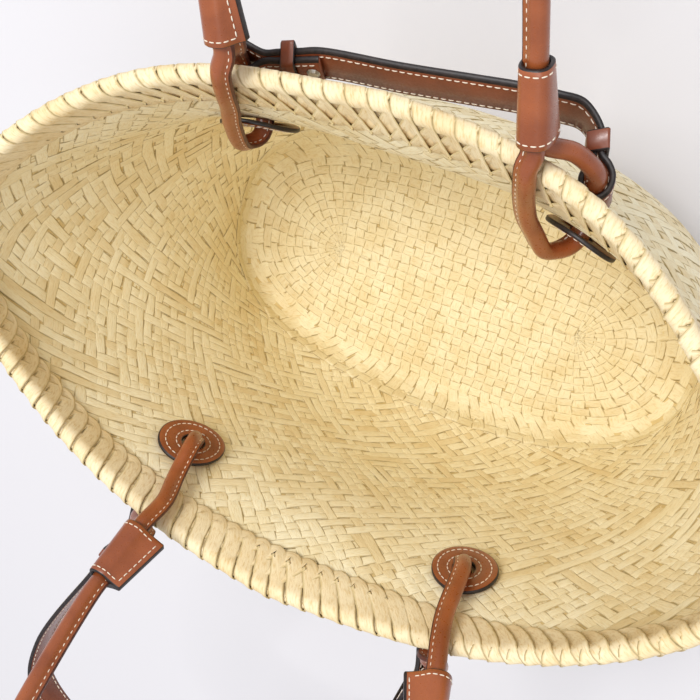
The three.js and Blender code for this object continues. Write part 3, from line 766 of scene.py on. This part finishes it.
# The turns at the edges are rounded with this share of a sine, which stops short of its own top
BORDER_SOFTNESS = 0.85
BORDER_SINE = 0.97 * math.pi / 2
BORDER_STEPS = 10
BORDER_LEAN = 0.001
SKIN_HALF = 0.94
SKIN_ROWS = 15
SKIN_STEPS = 480

RIM_ANGLES = np.linspace(0, 2 * math.pi, 4001)
RIM_REACH = distances(wall_point(RIM_ANGLES, 1.0))
RIM_LENGTH = RIM_REACH[-1]


def border_place(distance, w):
    """Point and outward direction of the border at a distance round the rim and a share across it."""
    theta = np.interp(np.mod(distance, RIM_LENGTH), RIM_REACH, RIM_ANGLES)
    along, climb, _ = wall_frame(theta, 1.0)
    level = unit(np.cross(along, UP))
    across = w * BORDER_HALF + BORDER_SHIFT
    turn = np.clip(across / BORDER_ROUND, -math.pi / 2, math.pi / 2)
    drop = np.maximum(0, np.abs(across) - BORDER_ROUND * math.pi / 2)
    middle = wall_point(theta, 1.0, (BRAID_WIDTH - BRAID_BULGE) / 2) + UP * (BORDER_LIFT - BORDER_ROUND)
    direction = level * np.sin(turn)[:, None] + UP * np.cos(turn)[:, None]
    point = middle + direction * BORDER_ROUND - unit(climb) * drop[:, None]
    return point, unit(direction + level * BORDER_LEAN)


def rows_on_top(row):
    """1 in the rows where the strands that lean one way lie on top, -1 where the others do."""
    low = np.floor(row)
    here, there = (np.where(k >= BORDER_RIDGE, -1.0, 1.0) for k in (low, low + 1))
    return lerp(here, there, smooth(row - low))


def border_plait():
    shape = Shape()
    periods = int(round(RIM_LENGTH / (BORDER_EAR * BORDER_STRANDS)))
    steps = periods * BORDER_STRANDS * BORDER_STEPS
    share = np.arange(steps) / steps
    for strand in range(BORDER_STRANDS):
        phase = share * periods + strand / BORDER_STRANDS
        f = np.mod(phase, 1)
        w = 1 - np.abs(f * 4 - 2)
        crossing = 2 * BORDER_STRANDS * f
        climbing = np.where(f < 0.5, 1, -1)
        row = np.where(f < 0.5, crossing, 2 * BORDER_STRANDS - crossing)
        edge = np.minimum(row, BORDER_STRANDS - row)
        height = BORDER_RIDE * climbing * rows_on_top(row) * np.clip(edge * 1.4, 0, 1)
        soft_w = np.sin(w * BORDER_SINE) / math.sin(BORDER_SINE)
        point, outward = border_place(share * RIM_LENGTH, lerp(w, soft_w, BORDER_SOFTNESS))
        across = unit(unit(np.cross(outward, along_line(point, closed=True))) + outward * BORDER_TILT)
        ripple = 0.06 * np.sin(2 * math.pi * row / BORDER_STRANDS + strand)
        width = BORDER_WIDTH * (1 + ripple) + chance.normal(0, 0.08, steps)
        tone = 0.65 + 0.3 * np.sin(phase * 2.3 + strand * 2)
        ribbon(shape, point, across, outward, width, height, BORDER_SWELL, np.repeat(tone, len(RIBBON)), True)
    distance = np.linspace(0, RIM_LENGTH, SKIN_STEPS, endpoint=False)
    rings = []
    for depth, half in ((0.0, SKIN_HALF), (BORDER_SKIN, -SKIN_HALF)):
        for w in np.linspace(-half, half, SKIN_ROWS):
            point, outward = border_place(distance, np.full(SKIN_STEPS, w))
            rings.append(point - outward * (BORDER_THICKNESS / 2 + depth))
    shape.tube(np.array(rings).transpose(1, 0, 2), closed=True, tone=0.4, rim=0.35)
    return shape.build("rim_plait", [PLAIT])


# Handles: the legs' holes, sleeves and cord routes, as in the CAD
STRANDS_APART = 2 * CORD + 0.4


def set_up_legs():
    for side in (SIDE_A, SIDE_B):
        tilt = math.radians(side["tilt"])
        side["rise"] = arr(0, side["sign"] * math.cos(tilt), math.sin(tilt))
        side["across"] = arr(0, side["sign"] * math.sin(tilt), -math.cos(tilt))
    for leg in LEGS:
        side = leg["side"]
        t = 1 - HOLE_DEPTH / BAG_HEIGHT
        theta = angle_at(side["sign"], leg["hole_x"], lambda angle: t, WALL_INSET)
        along, climb, outward = wall_frame(theta, t)
        middle = wall_point(theta, t, OVERHANG) - outward * WALL / 2
        leg["hole"] = {"theta": theta, "t": t, "middle": middle, "along": along, "climb": climb,
                       "outward": outward}
        leg["base"] = arr(leg["base_x"], *side["hinge"])
        leg["up"] = unit(side["rise"] + arr(leg["lean"], 0, 0))
        leg["inner"] = leg["base"] - side["across"] * STRANDS_APART / 2
        leg["outer"] = leg["base"] + side["across"] * STRANDS_APART / 2
        slant = math.radians(side["slant"])
        leg["post"] = arr(*leg["post"])
        leg["strand_up"] = arr(0, math.sin(slant), math.cos(slant))


set_up_legs()

CLEAR_OF_CORD = CORD + STRAND_GAP
INSIDE_DEPTH = OVERHANG + WALL + WASHER_GAP + WASHER_THICKNESS + CLEAR_OF_CORD
HOLE_STRAIGHT = WALL / 2 + WASHER_GAP + WASHER_THICKNESS + 2
STRAND_CLEAR = STRAP_WIDTH / 2 + 3
# Points on each smooth curve, and the spacing of the rings made along it
LOOP_POINTS = 600
LOOP_SPACING = 2.2
ARCH_POINTS = 900
ARCH_SPACING = 3
STRAP_A_POINTS = 330
STRAP_B_POINTS = 420
SHOULDER = 0.62
SEAM_FOCUS = 0.45


def loop_route(leg):
    """The strand from the sleeve over the rim, down inside, out through the hole and up again."""
    side, post = leg["side"], leg["post"]
    middle, outward = leg["hole"]["middle"], leg["hole"]["outward"]
    sign = side["sign"]
    rim_z = float(rim_height(angle_at(sign, leg["base_x"], lambda angle: 1.0)))
    towards = np.sign(leg["base_x"] - leg["hole_x"])

    def strand_x(z):
        return lerp(leg["hole_x"], leg["base_x"], (z - middle[2]) / (leg["base"][2] - middle[2]))

    def inside_wall(z):
        point, out = place_at(sign, strand_x(z), z)
        return point - out * INSIDE_DEPTH

    def inside_braid(z):
        return beside_braid(sign, strand_x(z), z, -BRAID_WIDTH - CLEAR_OF_CORD)

    def at(out, high, shift=0.0):
        return middle + outward * out + arr(towards * shift, 0, high)

    out_from = at(HOLE_STRAIGHT, 0)
    foot = post - leg["strand_up"] * STRAND_CLEAR
    if leg["drop"]:
        over_rim = [leg["inner"] + arr(*step) for step in leg["drop"]]
    else:
        over_rim = [inside_braid(rim_z - 2), inside_wall(rim_z - 24)]
    below = 6 if side is SIDE_A else 0.8
    over_braid = beside_braid(sign, (post[0] + leg["base_x"]) / 2, rim_z - below, BRAID_BULGE + CLEAR_OF_CORD)
    points = [
        leg["inner"] + leg["up"] * 1.2,
        leg["inner"] - leg["up"] * 5,
        *over_rim,
        *[at(*step) for step in leg["hang"]],
        at(-HOLE_STRAIGHT, 0),
        out_from,
        lerp(out_from, foot, 0.45) + arr(0, sign * 1.5, -1.5),
        foot,
        post,
        post + leg["strand_up"] * STRAND_CLEAR,
        over_braid,
        leg["outer"] - leg["up"] * 5,
        leg["outer"] + leg["up"] * TAIL_DEPTH,
    ]
    return evenly(smooth_points(points, LOOP_POINTS), LOOP_SPACING)


def arch_route(side):
    left, right = [leg for leg in LEGS if leg["side"] is side]
    middle = (left["base"] + right["base"]) / 2
    half = (right["base_x"] - left["base_x"]) / 2

    def at(across, high):
        share = (across + 1) / 2
        in_sleeve = lerp(left["lean"], right["lean"], share) * min(high, SLEEVE_LENGTH)
        beyond = lerp(left["arch_lean"], right["arch_lean"], share) * max(0, high - SLEEVE_LENGTH)
        return middle + arr(across * half + in_sleeve + beyond, 0, 0) + side["rise"] * high

    shoulder = SHOULDER * ARCH_HEIGHT
    stations = [(1, SLEEVE_LENGTH * 0.8), (1.01, SLEEVE_LENGTH * 1.25), (1.02, shoulder * 0.7),
                (0.98, shoulder), (0.8, ARCH_HEIGHT * 0.82), (0.45, ARCH_HEIGHT * 0.96)]
    points = [left["inner"] + left["up"] * 1.6, left["inner"] + left["up"] * SLEEVE_TAIL]
    points += [at(-across, high) for across, high in stations]
    points += [at(0, ARCH_HEIGHT)]
    points += [at(across, high) for across, high in reversed(stations)]
    points += [right["inner"] + right["up"] * SLEEVE_TAIL, right["inner"] + right["up"] * 1.6]
    return evenly(smooth_points(points, ARCH_POINTS), ARCH_SPACING)


# Stitches: short thread capsules that lie on a surface
STITCH = 3.4
STITCH_SHARE = 0.72
THREAD_RADIUS = 0.28
THREAD_SIDES = 6
THREAD_SLOT = 2
THREAD_SIZES = [(0, 0.35), (0.15, 0.9), (0.5, 1.0), (0.85, 0.9), (1, 0.35)]


def stitch(shape, start, end, outward):
    side = unit(np.cross(unit(end - start), outward))
    rings = []
    for share, size in THREAD_SIZES:
        centre = lerp(start, end, share) + outward * (THREAD_RADIUS * (0.45 - 0.9 * abs(share - 0.5)))
        rings.append([centre + (side * math.cos(a) * 1.15 + outward * math.sin(a)) * THREAD_RADIUS * size
                      for a in turns(THREAD_SIDES)])
    shape.tube(rings, slot=THREAD_SLOT)


def stitch_line(shape, line, outward, pitch=STITCH):
    """A row of stitches along a line of points, with the surface's outward direction at each."""
    line = np.asarray(line, float)
    reach = distances(line)
    count = int(reach[-1] / pitch)
    if count < 1:
        return
    true_pitch = reach[-1] / count

    def at(distance, values):
        return np.array([np.interp(distance, reach, values[:, k]) for k in range(3)])

    outward = np.broadcast_to(outward, line.shape)
    for k in range(count):
        start = (k + (1 - STITCH_SHARE) / 2) * true_pitch
        end = start + STITCH_SHARE * true_pitch
        stitch(shape, at(start, line), at(end, line), unit(at((start + end) / 2, outward)))


# Rolled leather cord: a round cover with a narrow sewn fin along one side
FIN_REACH = 5.6
FIN_HALF = 1.15
FIN_BEVEL = 0.5
SEAM_AT = 3.75
STITCH_LIFT = 0.12
CORD_PROFILE = 18
CORE = 2.2
CORE_SIDES = 12


def cord_axes(line, seam_towards):
    """Unit directions across a cord: to its seam, and square to that."""
    along = along_line(line)
    seam = seam_towards - along * np.sum(seam_towards * along, 1, keepdims=True)
    seam = unit(seam)
    for _ in range(12):
        seam = unit(np.concatenate([seam[:1], (seam[:-2] + seam[1:-1] * 2 + seam[2:]) / 4, seam[-1:]]))
        seam = unit(seam - along * np.sum(seam * along, 1, keepdims=True))
    return seam, np.cross(along, seam)


def cord_cover(shape, line, seam_towards):
    seam, over = cord_axes(line, seam_towards)
    start = math.asin(FIN_HALF / CORD) + 0.12
    angles = np.linspace(start, 2 * math.pi - start, CORD_PROFILE)
    profile = [(CORD * math.cos(a), CORD * math.sin(a), 0) for a in angles]
    profile += [(FIN_REACH - FIN_BEVEL, -FIN_HALF, 1), (FIN_REACH, -FIN_HALF * 0.55, 1),
                (FIN_REACH, FIN_HALF * 0.55, 1), (FIN_REACH - FIN_BEVEL, FIN_HALF, 0)]
    rings = np.stack([line + seam * a + over * b for a, b, _ in profile], 1)
    shape.tube(rings, side_slots=[slot for _, _, slot in profile])
    for side in (1, -1):
        stitch_line(shape, line + seam * SEAM_AT + over * side * (FIN_HALF + STITCH_LIFT), over * side)


CORD_SET = [LEATHER, BURNISHED, THREAD]
LEATHER_SET = [LEATHER, EDGE, THREAD]
STRAP_SET = [STRAP_LEATHER, EDGE, THREAD]


def rim_loop(leg):
    """The cord of a rim loop, and the fibre core that bends with it."""
    line = loop_route(leg)
    towards = np.broadcast_to(arr(leg["seam"], 0, 0), line.shape)
    cord, core = Shape(), Shape()
    cord_cover(cord, line, towards)
    seam, over = cord_axes(line, towards)
    core.tube(np.stack([line + (seam * math.cos(a) + over * math.sin(a)) * CORE for a in turns(CORE_SIDES)], 1))
    return cord.build(f"loop_cord_{leg['name']}", CORD_SET), core.build(f"loop_fibre_{leg['name']}", [FIBRE])


def handle_arch(side):
    shape = Shape()
    line = arch_route(side)
    left, right = [leg for leg in LEGS if leg["side"] is side]
    height = ARCH_HEIGHT * SEAM_FOCUS
    focus = (left["base"] + right["base"]) / 2 + side["rise"] * height
    focus = focus + arr((left["lean"] + right["lean"]) / 2 * height, 0, 0)
    towards = focus - line
    towards = towards - np.outer(np.sum(towards * side["across"], 1), side["across"])
    legs_part = np.clip((line - left["base"]) @ side["rise"] / (0.4 * ARCH_HEIGHT), 0, 1)[:, None]
    inward = np.where(line[:, :1] > focus[0], -1.0, 1.0) * arr(1, 0, 0)
    towards = unit(lerp(inward, unit(towards), smooth(legs_part)))
    cord_cover(shape, line, towards)
    return shape.build(f"handle_cord_{side['name']}", CORD_SET)


# Washers follow the curve of the wall. Their section has a radius, a height over the face and a slot
WASHER_TOP = WASHER_THICKNESS
WASHER_SIDES = 48
WASHER_ROWS = (0.51, 0.81)
WASHER_STITCH = 3.3
WASHER_SECTION = [
    (WASHER_HOLE, 0.1, 1), (WASHER_HOLE, WASHER_TOP - 0.5, 1), (WASHER_HOLE + 0.5, WASHER_TOP, 0),
    *[(WASHER_RADIUS * share, WASHER_TOP + lift, 0) for share, lift in (
        (0.45, 0.1), (0.51, -0.08), (0.57, 0.12), (0.7, 0.16), (0.81, -0.06), (0.9, 0.05))],
    (WASHER_RADIUS - 0.5, WASHER_TOP - 0.1, 1), (WASHER_RADIUS, WASHER_TOP - 0.6, 1), (WASHER_RADIUS, 0.3, 1),
    (WASHER_RADIUS - 0.4, 0, 0)]


def washer(leg, where):
    shape = Shape()
    hole = leg["hole"]
    face = 1 if where == "outer" else -1
    near = WASHER_GAP if where == "outer" else -WALL - WASHER_GAP
    turn = turns(WASHER_SIDES)

    def ring(radius, height):
        theta = hole["theta"] + radius * np.cos(turn) / np.linalg.norm(hole["along"])
        t = hole["t"] + radius * np.sin(turn) / np.linalg.norm(hole["climb"])
        outward = wall_frame(theta, t)[2]
        return wall_point(theta, t, OVERHANG) + outward * (near + face * height), outward * face

    section = WASHER_SECTION[::-face]
    rings = np.array([ring(radius, height)[0] for radius, height, _ in section]).transpose(1, 0, 2)
    shape.tube(rings, closed=True, side_slots=[slot for _, _, slot in section])
    for share in WASHER_ROWS:
        row = ring(WASHER_RADIUS * share, WASHER_TOP + 0.02)
        stitch_line(shape, *(np.concatenate([values, values[:1]]) for values in row), WASHER_STITCH)
    return shape.build(f"washer_disc_{where}_{leg['name']}", LEATHER_SET)


# Sleeves: flattened tubes with a sewn flange and stitched ends
SLEEVE_FULL = 2.6
FLANGE_SEAM = 2.4
SLEEVE_SIDES = 40
SLEEVE_LEVELS = 14
SLEEVE_BEVEL = 0.45
SLEEVE_STITCH = 3.1
# Shares of the height at which its two rows of stitches run
SLEEVE_ROWS = (2.6 / SLEEVE_LENGTH, 1 - 2.4 / SLEEVE_LENGTH)


def sleeve(leg):
    shape = Shape()
    side = leg["side"]
    sideways = unit(np.cross(side["across"], leg["up"]))
    if sideways[0] < 0:
        sideways = -sideways
    over = unit(np.cross(leg["up"], sideways))
    if over @ side["across"] < 0:
        over = -over
    angles = (np.arange(SLEEVE_SIDES) + 0.5) * 2 * math.pi / SLEEVE_SIDES
    c, s = np.cos(angles), np.sin(angles)
    flange_side = np.sign(leg["flange"])

    def ring(share, grow, flange):
        half = lerp(SLEEVE_MOUTH, SLEEVE_NECK, share) / 2 + grow
        thick = CORD + SLEEVE_CLEARANCE + SLEEVE_SPREAD * (1 - share) + grow
        out = thick * np.sign(c) * np.abs(c) ** (2 / SLEEVE_FULL)
        across = half * np.sign(s) * np.abs(s) ** (2 / SLEEVE_FULL)
        if flange:
            fin = smooth(np.clip((c * flange_side - 0.72) / 0.26, 0, 1))
            out = out + fin * flange
            across = lerp(across, np.sign(s) * FLANGE_THICKNESS / 2 * np.clip(np.abs(s) * 6, 0.2, 1), fin)
        centre = leg["base"] + leg["up"] * share * SLEEVE_LENGTH
        return centre + np.outer(out, sideways) + np.outer(across, over)

    def outside(share, grow=SLEEVE_WALL):
        return ring(share, grow, leg["flange"] * (1 - 0.35 * share))

    ends = SLEEVE_BEVEL / SLEEVE_LENGTH
    skin = [outside(share) for share in np.linspace(ends, 1 - ends, SLEEVE_LEVELS)]
    skin = [outside(0.0, SLEEVE_WALL - SLEEVE_BEVEL), *skin, outside(1.0, SLEEVE_WALL - SLEEVE_BEVEL)]
    rings = np.array(skin + [ring(share, 0.0, 0) for share in (1.0, 0.5, 0.0)])
    level = np.arange(len(rings))[:, None]
    edges = (level == 0) | (level >= len(skin) - 2) | (c * flange_side > 0.97)
    shape.tube(rings, closed=True, side_slots=edges.astype(int))

    def centre_at(share):
        return leg["base"] + leg["up"] * share * SLEEVE_LENGTH

    spans = {0: [(0, 360)], 1: [(25, 335)], -1: [(0, 155), (205, 360)]}[int(flange_side)]
    for share in SLEEVE_ROWS:
        row = outside(share, SLEEVE_WALL + 0.05)
        for low, high in spans:
            points = row[(np.degrees(angles) >= low) & (np.degrees(angles) <= high)]
            out = points - centre_at(share)
            out = unit(out - np.outer(out @ leg["up"], leg["up"]))
            stitch_line(shape, points, out, SLEEVE_STITCH)
    for face in (1, -1) if leg["flange"] else ():
        points = []
        for share in np.linspace(*SLEEVE_ROWS, 12):
            gap = outside(share) - centre_at(share)
            out, high = gap @ sideways * flange_side, gap @ over * face
            facing = np.flatnonzero(high > 0)
            facing = facing[np.argsort(out[facing])]
            reach = out.max() - FLANGE_SEAM
            lift = np.interp(reach, out[facing], high[facing]) + 0.06
            points.append(centre_at(share) + sideways * flange_side * reach + over * face * lift)
        stitch_line(shape, points, over * face, SLEEVE_STITCH)
    return shape.build(f"sleeve_leather_{leg['name']}", LEATHER_SET)


# Flat straps
WRAP_RADIUS = CORD + WRAP_CLEARANCE + STRAP_THICKNESS / 2
PLY_SPACING = STRAP_THICKNESS + PLY_GAP
STRAP_BEVEL = 0.7
STRAP_ROW = 2.4
STRAP_STITCH = 3.5
STRAP_BEND = (6, 36)
KEEPER_CORNER = 1.2
KEEPER_BEVEL = 0.5


class StrapFrame:
    """Flat places (x, across) are level, and heights run along the strands' slant."""

    def __init__(self, side, origin, level_at):
        self.slant = math.radians(side["slant"])
        self.stretch = side["sign"] / math.cos(self.slant)
        self.origin, self.level_at = origin, level_at

    def flat(self, point):
        return arr(point[0], (point[1] - self.origin[1]) / self.stretch)

    def place(self, flat, height):
        flat = np.atleast_2d(flat)
        y = self.origin[1] + flat[:, 1] * self.stretch + math.sin(self.slant) * height
        z = self.level_at(flat[:, 0]) + math.cos(self.slant) * height
        return np.stack([flat[:, 0], y + 0 * z, z], -1)


def ply_axes(middle, heading):
    turn = math.radians(heading)
    out = arr(math.cos(turn), math.sin(turn))
    left = arr(-out[1], out[0])
    return lambda along, across: middle + out * along + left * across


def wrap_points(middle, heading, plies):
    spot = ply_axes(middle, heading)
    turned = [spot(WRAP_RADIUS * math.cos(math.radians(d)), -WRAP_RADIUS * math.sin(math.radians(d)))
              for d in (50, 90, 135, 180, 225, 270, 310)]
    first = [spot(along, -PLY_SPACING / 2) for along in reversed(plies)]
    last = [spot(along, PLY_SPACING / 2) for along in plies]
    return first + turned + last


def strap_band(name, node, line, frame_of_strap, body, bend=None):
    """A band with rounded painted edges and a row of stitches along each edge, on both faces."""
    shape = Shape()
    along = along_line(line)
    normal = np.stack([-along[:, 1], along[:, 0]], -1)
    half, high = STRAP_THICKNESS / 2, STRAP_WIDTH / 2
    inset = high - STRAP_BEVEL
    thin = half * 0.55
    profile = [(half, -inset, 0), (half, 0, 0), (half, inset, 1), (thin, high, 1), (-thin, high, 1),
               (-half, inset, 0), (-half, 0, 0), (-half, -inset, 1), (-thin, -high, 1), (thin, -high, 1)]
    rings = np.stack([frame_of_strap.place(line + normal * out, level) for out, level, _ in profile], 1)
    shape.tube(rings, side_slots=[slot for _, _, slot in profile])
    for face in (1, -1):
        for level in (high - STRAP_ROW, -high + STRAP_ROW):
            row, ahead = (frame_of_strap.place(line + normal * face * (half + lift), level)
                          for lift in (0.06, 1.06))
            stitch_line(shape, row[2:-2], unit(ahead - row)[2:-2], STRAP_STITCH)
    dress(shape.build(name, STRAP_SET), body, node, bend)


def keeper(name, frame_of_strap, middle, heading, distance, body):
    shape = Shape()
    inner = STRAP_THICKNESS + PLY_GAP / 2 + KEEPER_CLEARANCE
    tall = STRAP_WIDTH / 2 + KEEPER_CLEARANCE
    spot = ply_axes(middle, heading)
    half = KEEPER_LENGTH / 2
    rings = []
    for sx, sy in ((1, 1), (-1, 1), (-1, -1), (1, -1)):
        ix, iy = sx * inner, sy * tall
        for k in range(4):
            a = math.atan2(sy, sx) - math.pi / 4 + k * math.pi / 6
            ox = sx * (inner + KEEPER_WALL - KEEPER_CORNER) + KEEPER_CORNER * math.cos(a)
            oy = sy * (tall + KEEPER_WALL - KEEPER_CORNER) + KEEPER_CORNER * math.sin(a)
            end_x, end_y = lerp(ox, ix, 0.35), lerp(oy, iy, 0.35)
            section = [(ox, oy, -half + KEEPER_BEVEL), (ox, oy, half - KEEPER_BEVEL), (end_x, end_y, half),
                       (ix, iy, half - 0.1), (ix, iy, -half + 0.1), (end_x, end_y, -half)]
            rings.append([frame_of_strap.place(spot(distance + along, across), level)[0]
                          for across, level, along in section])
    shape.tube(rings, closed=True, side_slots=[0, 1, 1, 0, 1, 1])
    dress(shape.build(f"keeper_band_{name}", STRAP_SET), body, f"keeper_{name}")


TURN_AL, TURN_AR = 14, 112
LEG_AL, LEG_AR, LEG_BL, LEG_BR = LEGS


def make_strap_a():
    start, end = LEG_AL["post"], LEG_AR["post"]
    place = StrapFrame(SIDE_A, start, lambda x: lerp(start[2], end[2], (x - start[0]) / (end[0] - start[0])))
    left, right = place.flat(start), place.flat(end)
    points = wrap_points(left, TURN_AL, [13, 20, 30, 40])
    points += [lerp(left, right, share) + arr(0, out) for share, out in FREE_A]
    points += wrap_points(right, TURN_AR, [8, 11.5, 15])
    strap_band("strap_leather_a", "strap_a", smooth_points(points, STRAP_A_POINTS), place, "basket")
    keeper("a_left", place, left, TURN_AL, 25, "basket")
    keeper("a_right", place, right, TURN_AR, 11.5, "basket")


def make_strap_b():
    left_post, right_post = LEG_BL["post"], LEG_BR["post"]
    place = StrapFrame(SIDE_B, left_post, lambda x: left_post[2] + 0 * x)
    left, right = place.flat(left_post), place.flat(right_post)
    turn_left, turn_right = (90 - math.degrees(math.atan(leg["strap_lean"])) for leg in (LEG_BL, LEG_BR))
    start = STRAP_B_STRAIGHT * STRAP_B_REACH

    def bow(degrees):
        angle = math.radians(degrees)
        out = start + (STRAP_B_REACH - start) * math.sin(angle)
        half = (right[0] - left[0] + PLY_SPACING) / 2
        lean = lerp(LEG_BL["strap_lean"], LEG_BR["strap_lean"], (1 + math.cos(angle)) / 2)
        return arr((left[0] + right[0]) / 2 + half * math.cos(angle) + lean * out, out)

    plies = [14, 34, 46, 60]
    points = wrap_points(left, turn_left, plies) + [bow(d) for d in (180, 150, 120, 90, 60, 30, 0)]
    points += wrap_points(right, turn_right, plies)
    hinge, beyond = place.place(np.array([left, left + arr(0, 1)]), 0)
    bend = [hinge + unit(beyond - hinge) * reach for reach in STRAP_BEND]
    strap_band("strap_leather_b", "strap_b", smooth_points(points, STRAP_B_POINTS), place, "strap_b", bend)
    keeper("b_left", place, left, turn_left, 40, "strap_b")
    keeper("b_right", place, right, turn_right, 40, "strap_b")


# Making and fitting the pieces
LOOP_BEND_BELOW = 12
LOOP_BEND_ABOVE = 1


def make_pieces():
    for piece in (wall_weave(), base_weave(), backing_shell()):
        dress(piece, "basket", "basket_body")
    dress(border_plait(), "basket", "rim_braid")
    for leg in LEGS:
        name, side = leg["name"], leg["side"]
        for where in ("inner", "outer"):
            dress(washer(leg, where), "basket", f"washer_{where}_{name}")
        body = f"handle_{side['name']}"
        dress(sleeve(leg), body, f"sleeve_{name}")
        hinge = arr(0, *side["hinge"])
        bend = (hinge - side["rise"] * LOOP_BEND_BELOW, hinge + side["rise"] * LOOP_BEND_ABOVE)
        cord, core = rim_loop(leg)
        dress(cord, body, f"rim_loop_{name}", bend)
        dress(core, body, f"loop_core_{name}", bend)
    for side in (SIDE_A, SIDE_B):
        dress(handle_arch(side), f"handle_{side['name']}", f"handle_cover_{side['name']}")
    make_strap_a()
    make_strap_b()
    for side in ("a", "b"):
        finish_node(f"stud_{side}", STEEL)
        finish_node(f"handle_core_{side}", FIBRE)


def finish_node(name, material):
    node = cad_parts[name]
    for slot in node.material_slots:
        slot.material = material
    for polygon in node.data.polygons:
        polygon.use_smooth = True


# Stage: pale floor and soft studio light
FLOOR_HALF = 6.0
FLOOR_COLOUR = (215, 213, 215)
SKY = (0.93, 0.94, 1.0, 1)
SKY_STRENGTH = 0.67
LIGHT_TARGET = (0, 0, 0.1)
# Each lamp's place, size in metres and power in watts
LAMPS = {"key": ((-0.42, 0.78, 2.3), 0.9, 40), "fill": ((0.7, -0.5, 2.4), 1.4, 12)}


def make_stage():
    mesh = bpy.data.meshes.new("floor")
    corners = [(x * FLOOR_HALF, y * FLOOR_HALF, 0) for x, y in ((-1, -1), (1, -1), (1, 1), (-1, 1))]
    mesh.from_pydata(corners, [], [[0, 1, 2, 3]])
    floor = bpy.data.objects.new("floor", mesh)
    bpy.context.scene.collection.objects.link(floor)
    mesh.materials.append(Nodes("floor_paper").finish(Base_Color=colour(*FLOOR_COLOUR), Roughness=0.9))


def make_light():
    world = bpy.data.worlds.new("studio")
    world.use_nodes = True
    background = world.node_tree.nodes["Background"]
    background.inputs["Color"].default_value = SKY
    background.inputs["Strength"].default_value = SKY_STRENGTH
    bpy.context.scene.world = world
    for name, (place, size, power) in LAMPS.items():
        data = bpy.data.lights.new(name, "AREA")
        data.shape = "DISK"
        data.size = size
        data.energy = power
        light = bpy.data.objects.new(name, data)
        light.location = place
        light.rotation_mode = "QUATERNION"
        light.rotation_quaternion = (Vector(LIGHT_TARGET) - Vector(place)).to_track_quat("-Z", "Y")
        bpy.context.scene.collection.objects.link(light)
    bpy.context.scene.view_settings.view_transform = "Standard"


make_stage()
make_light()
make_pieces()
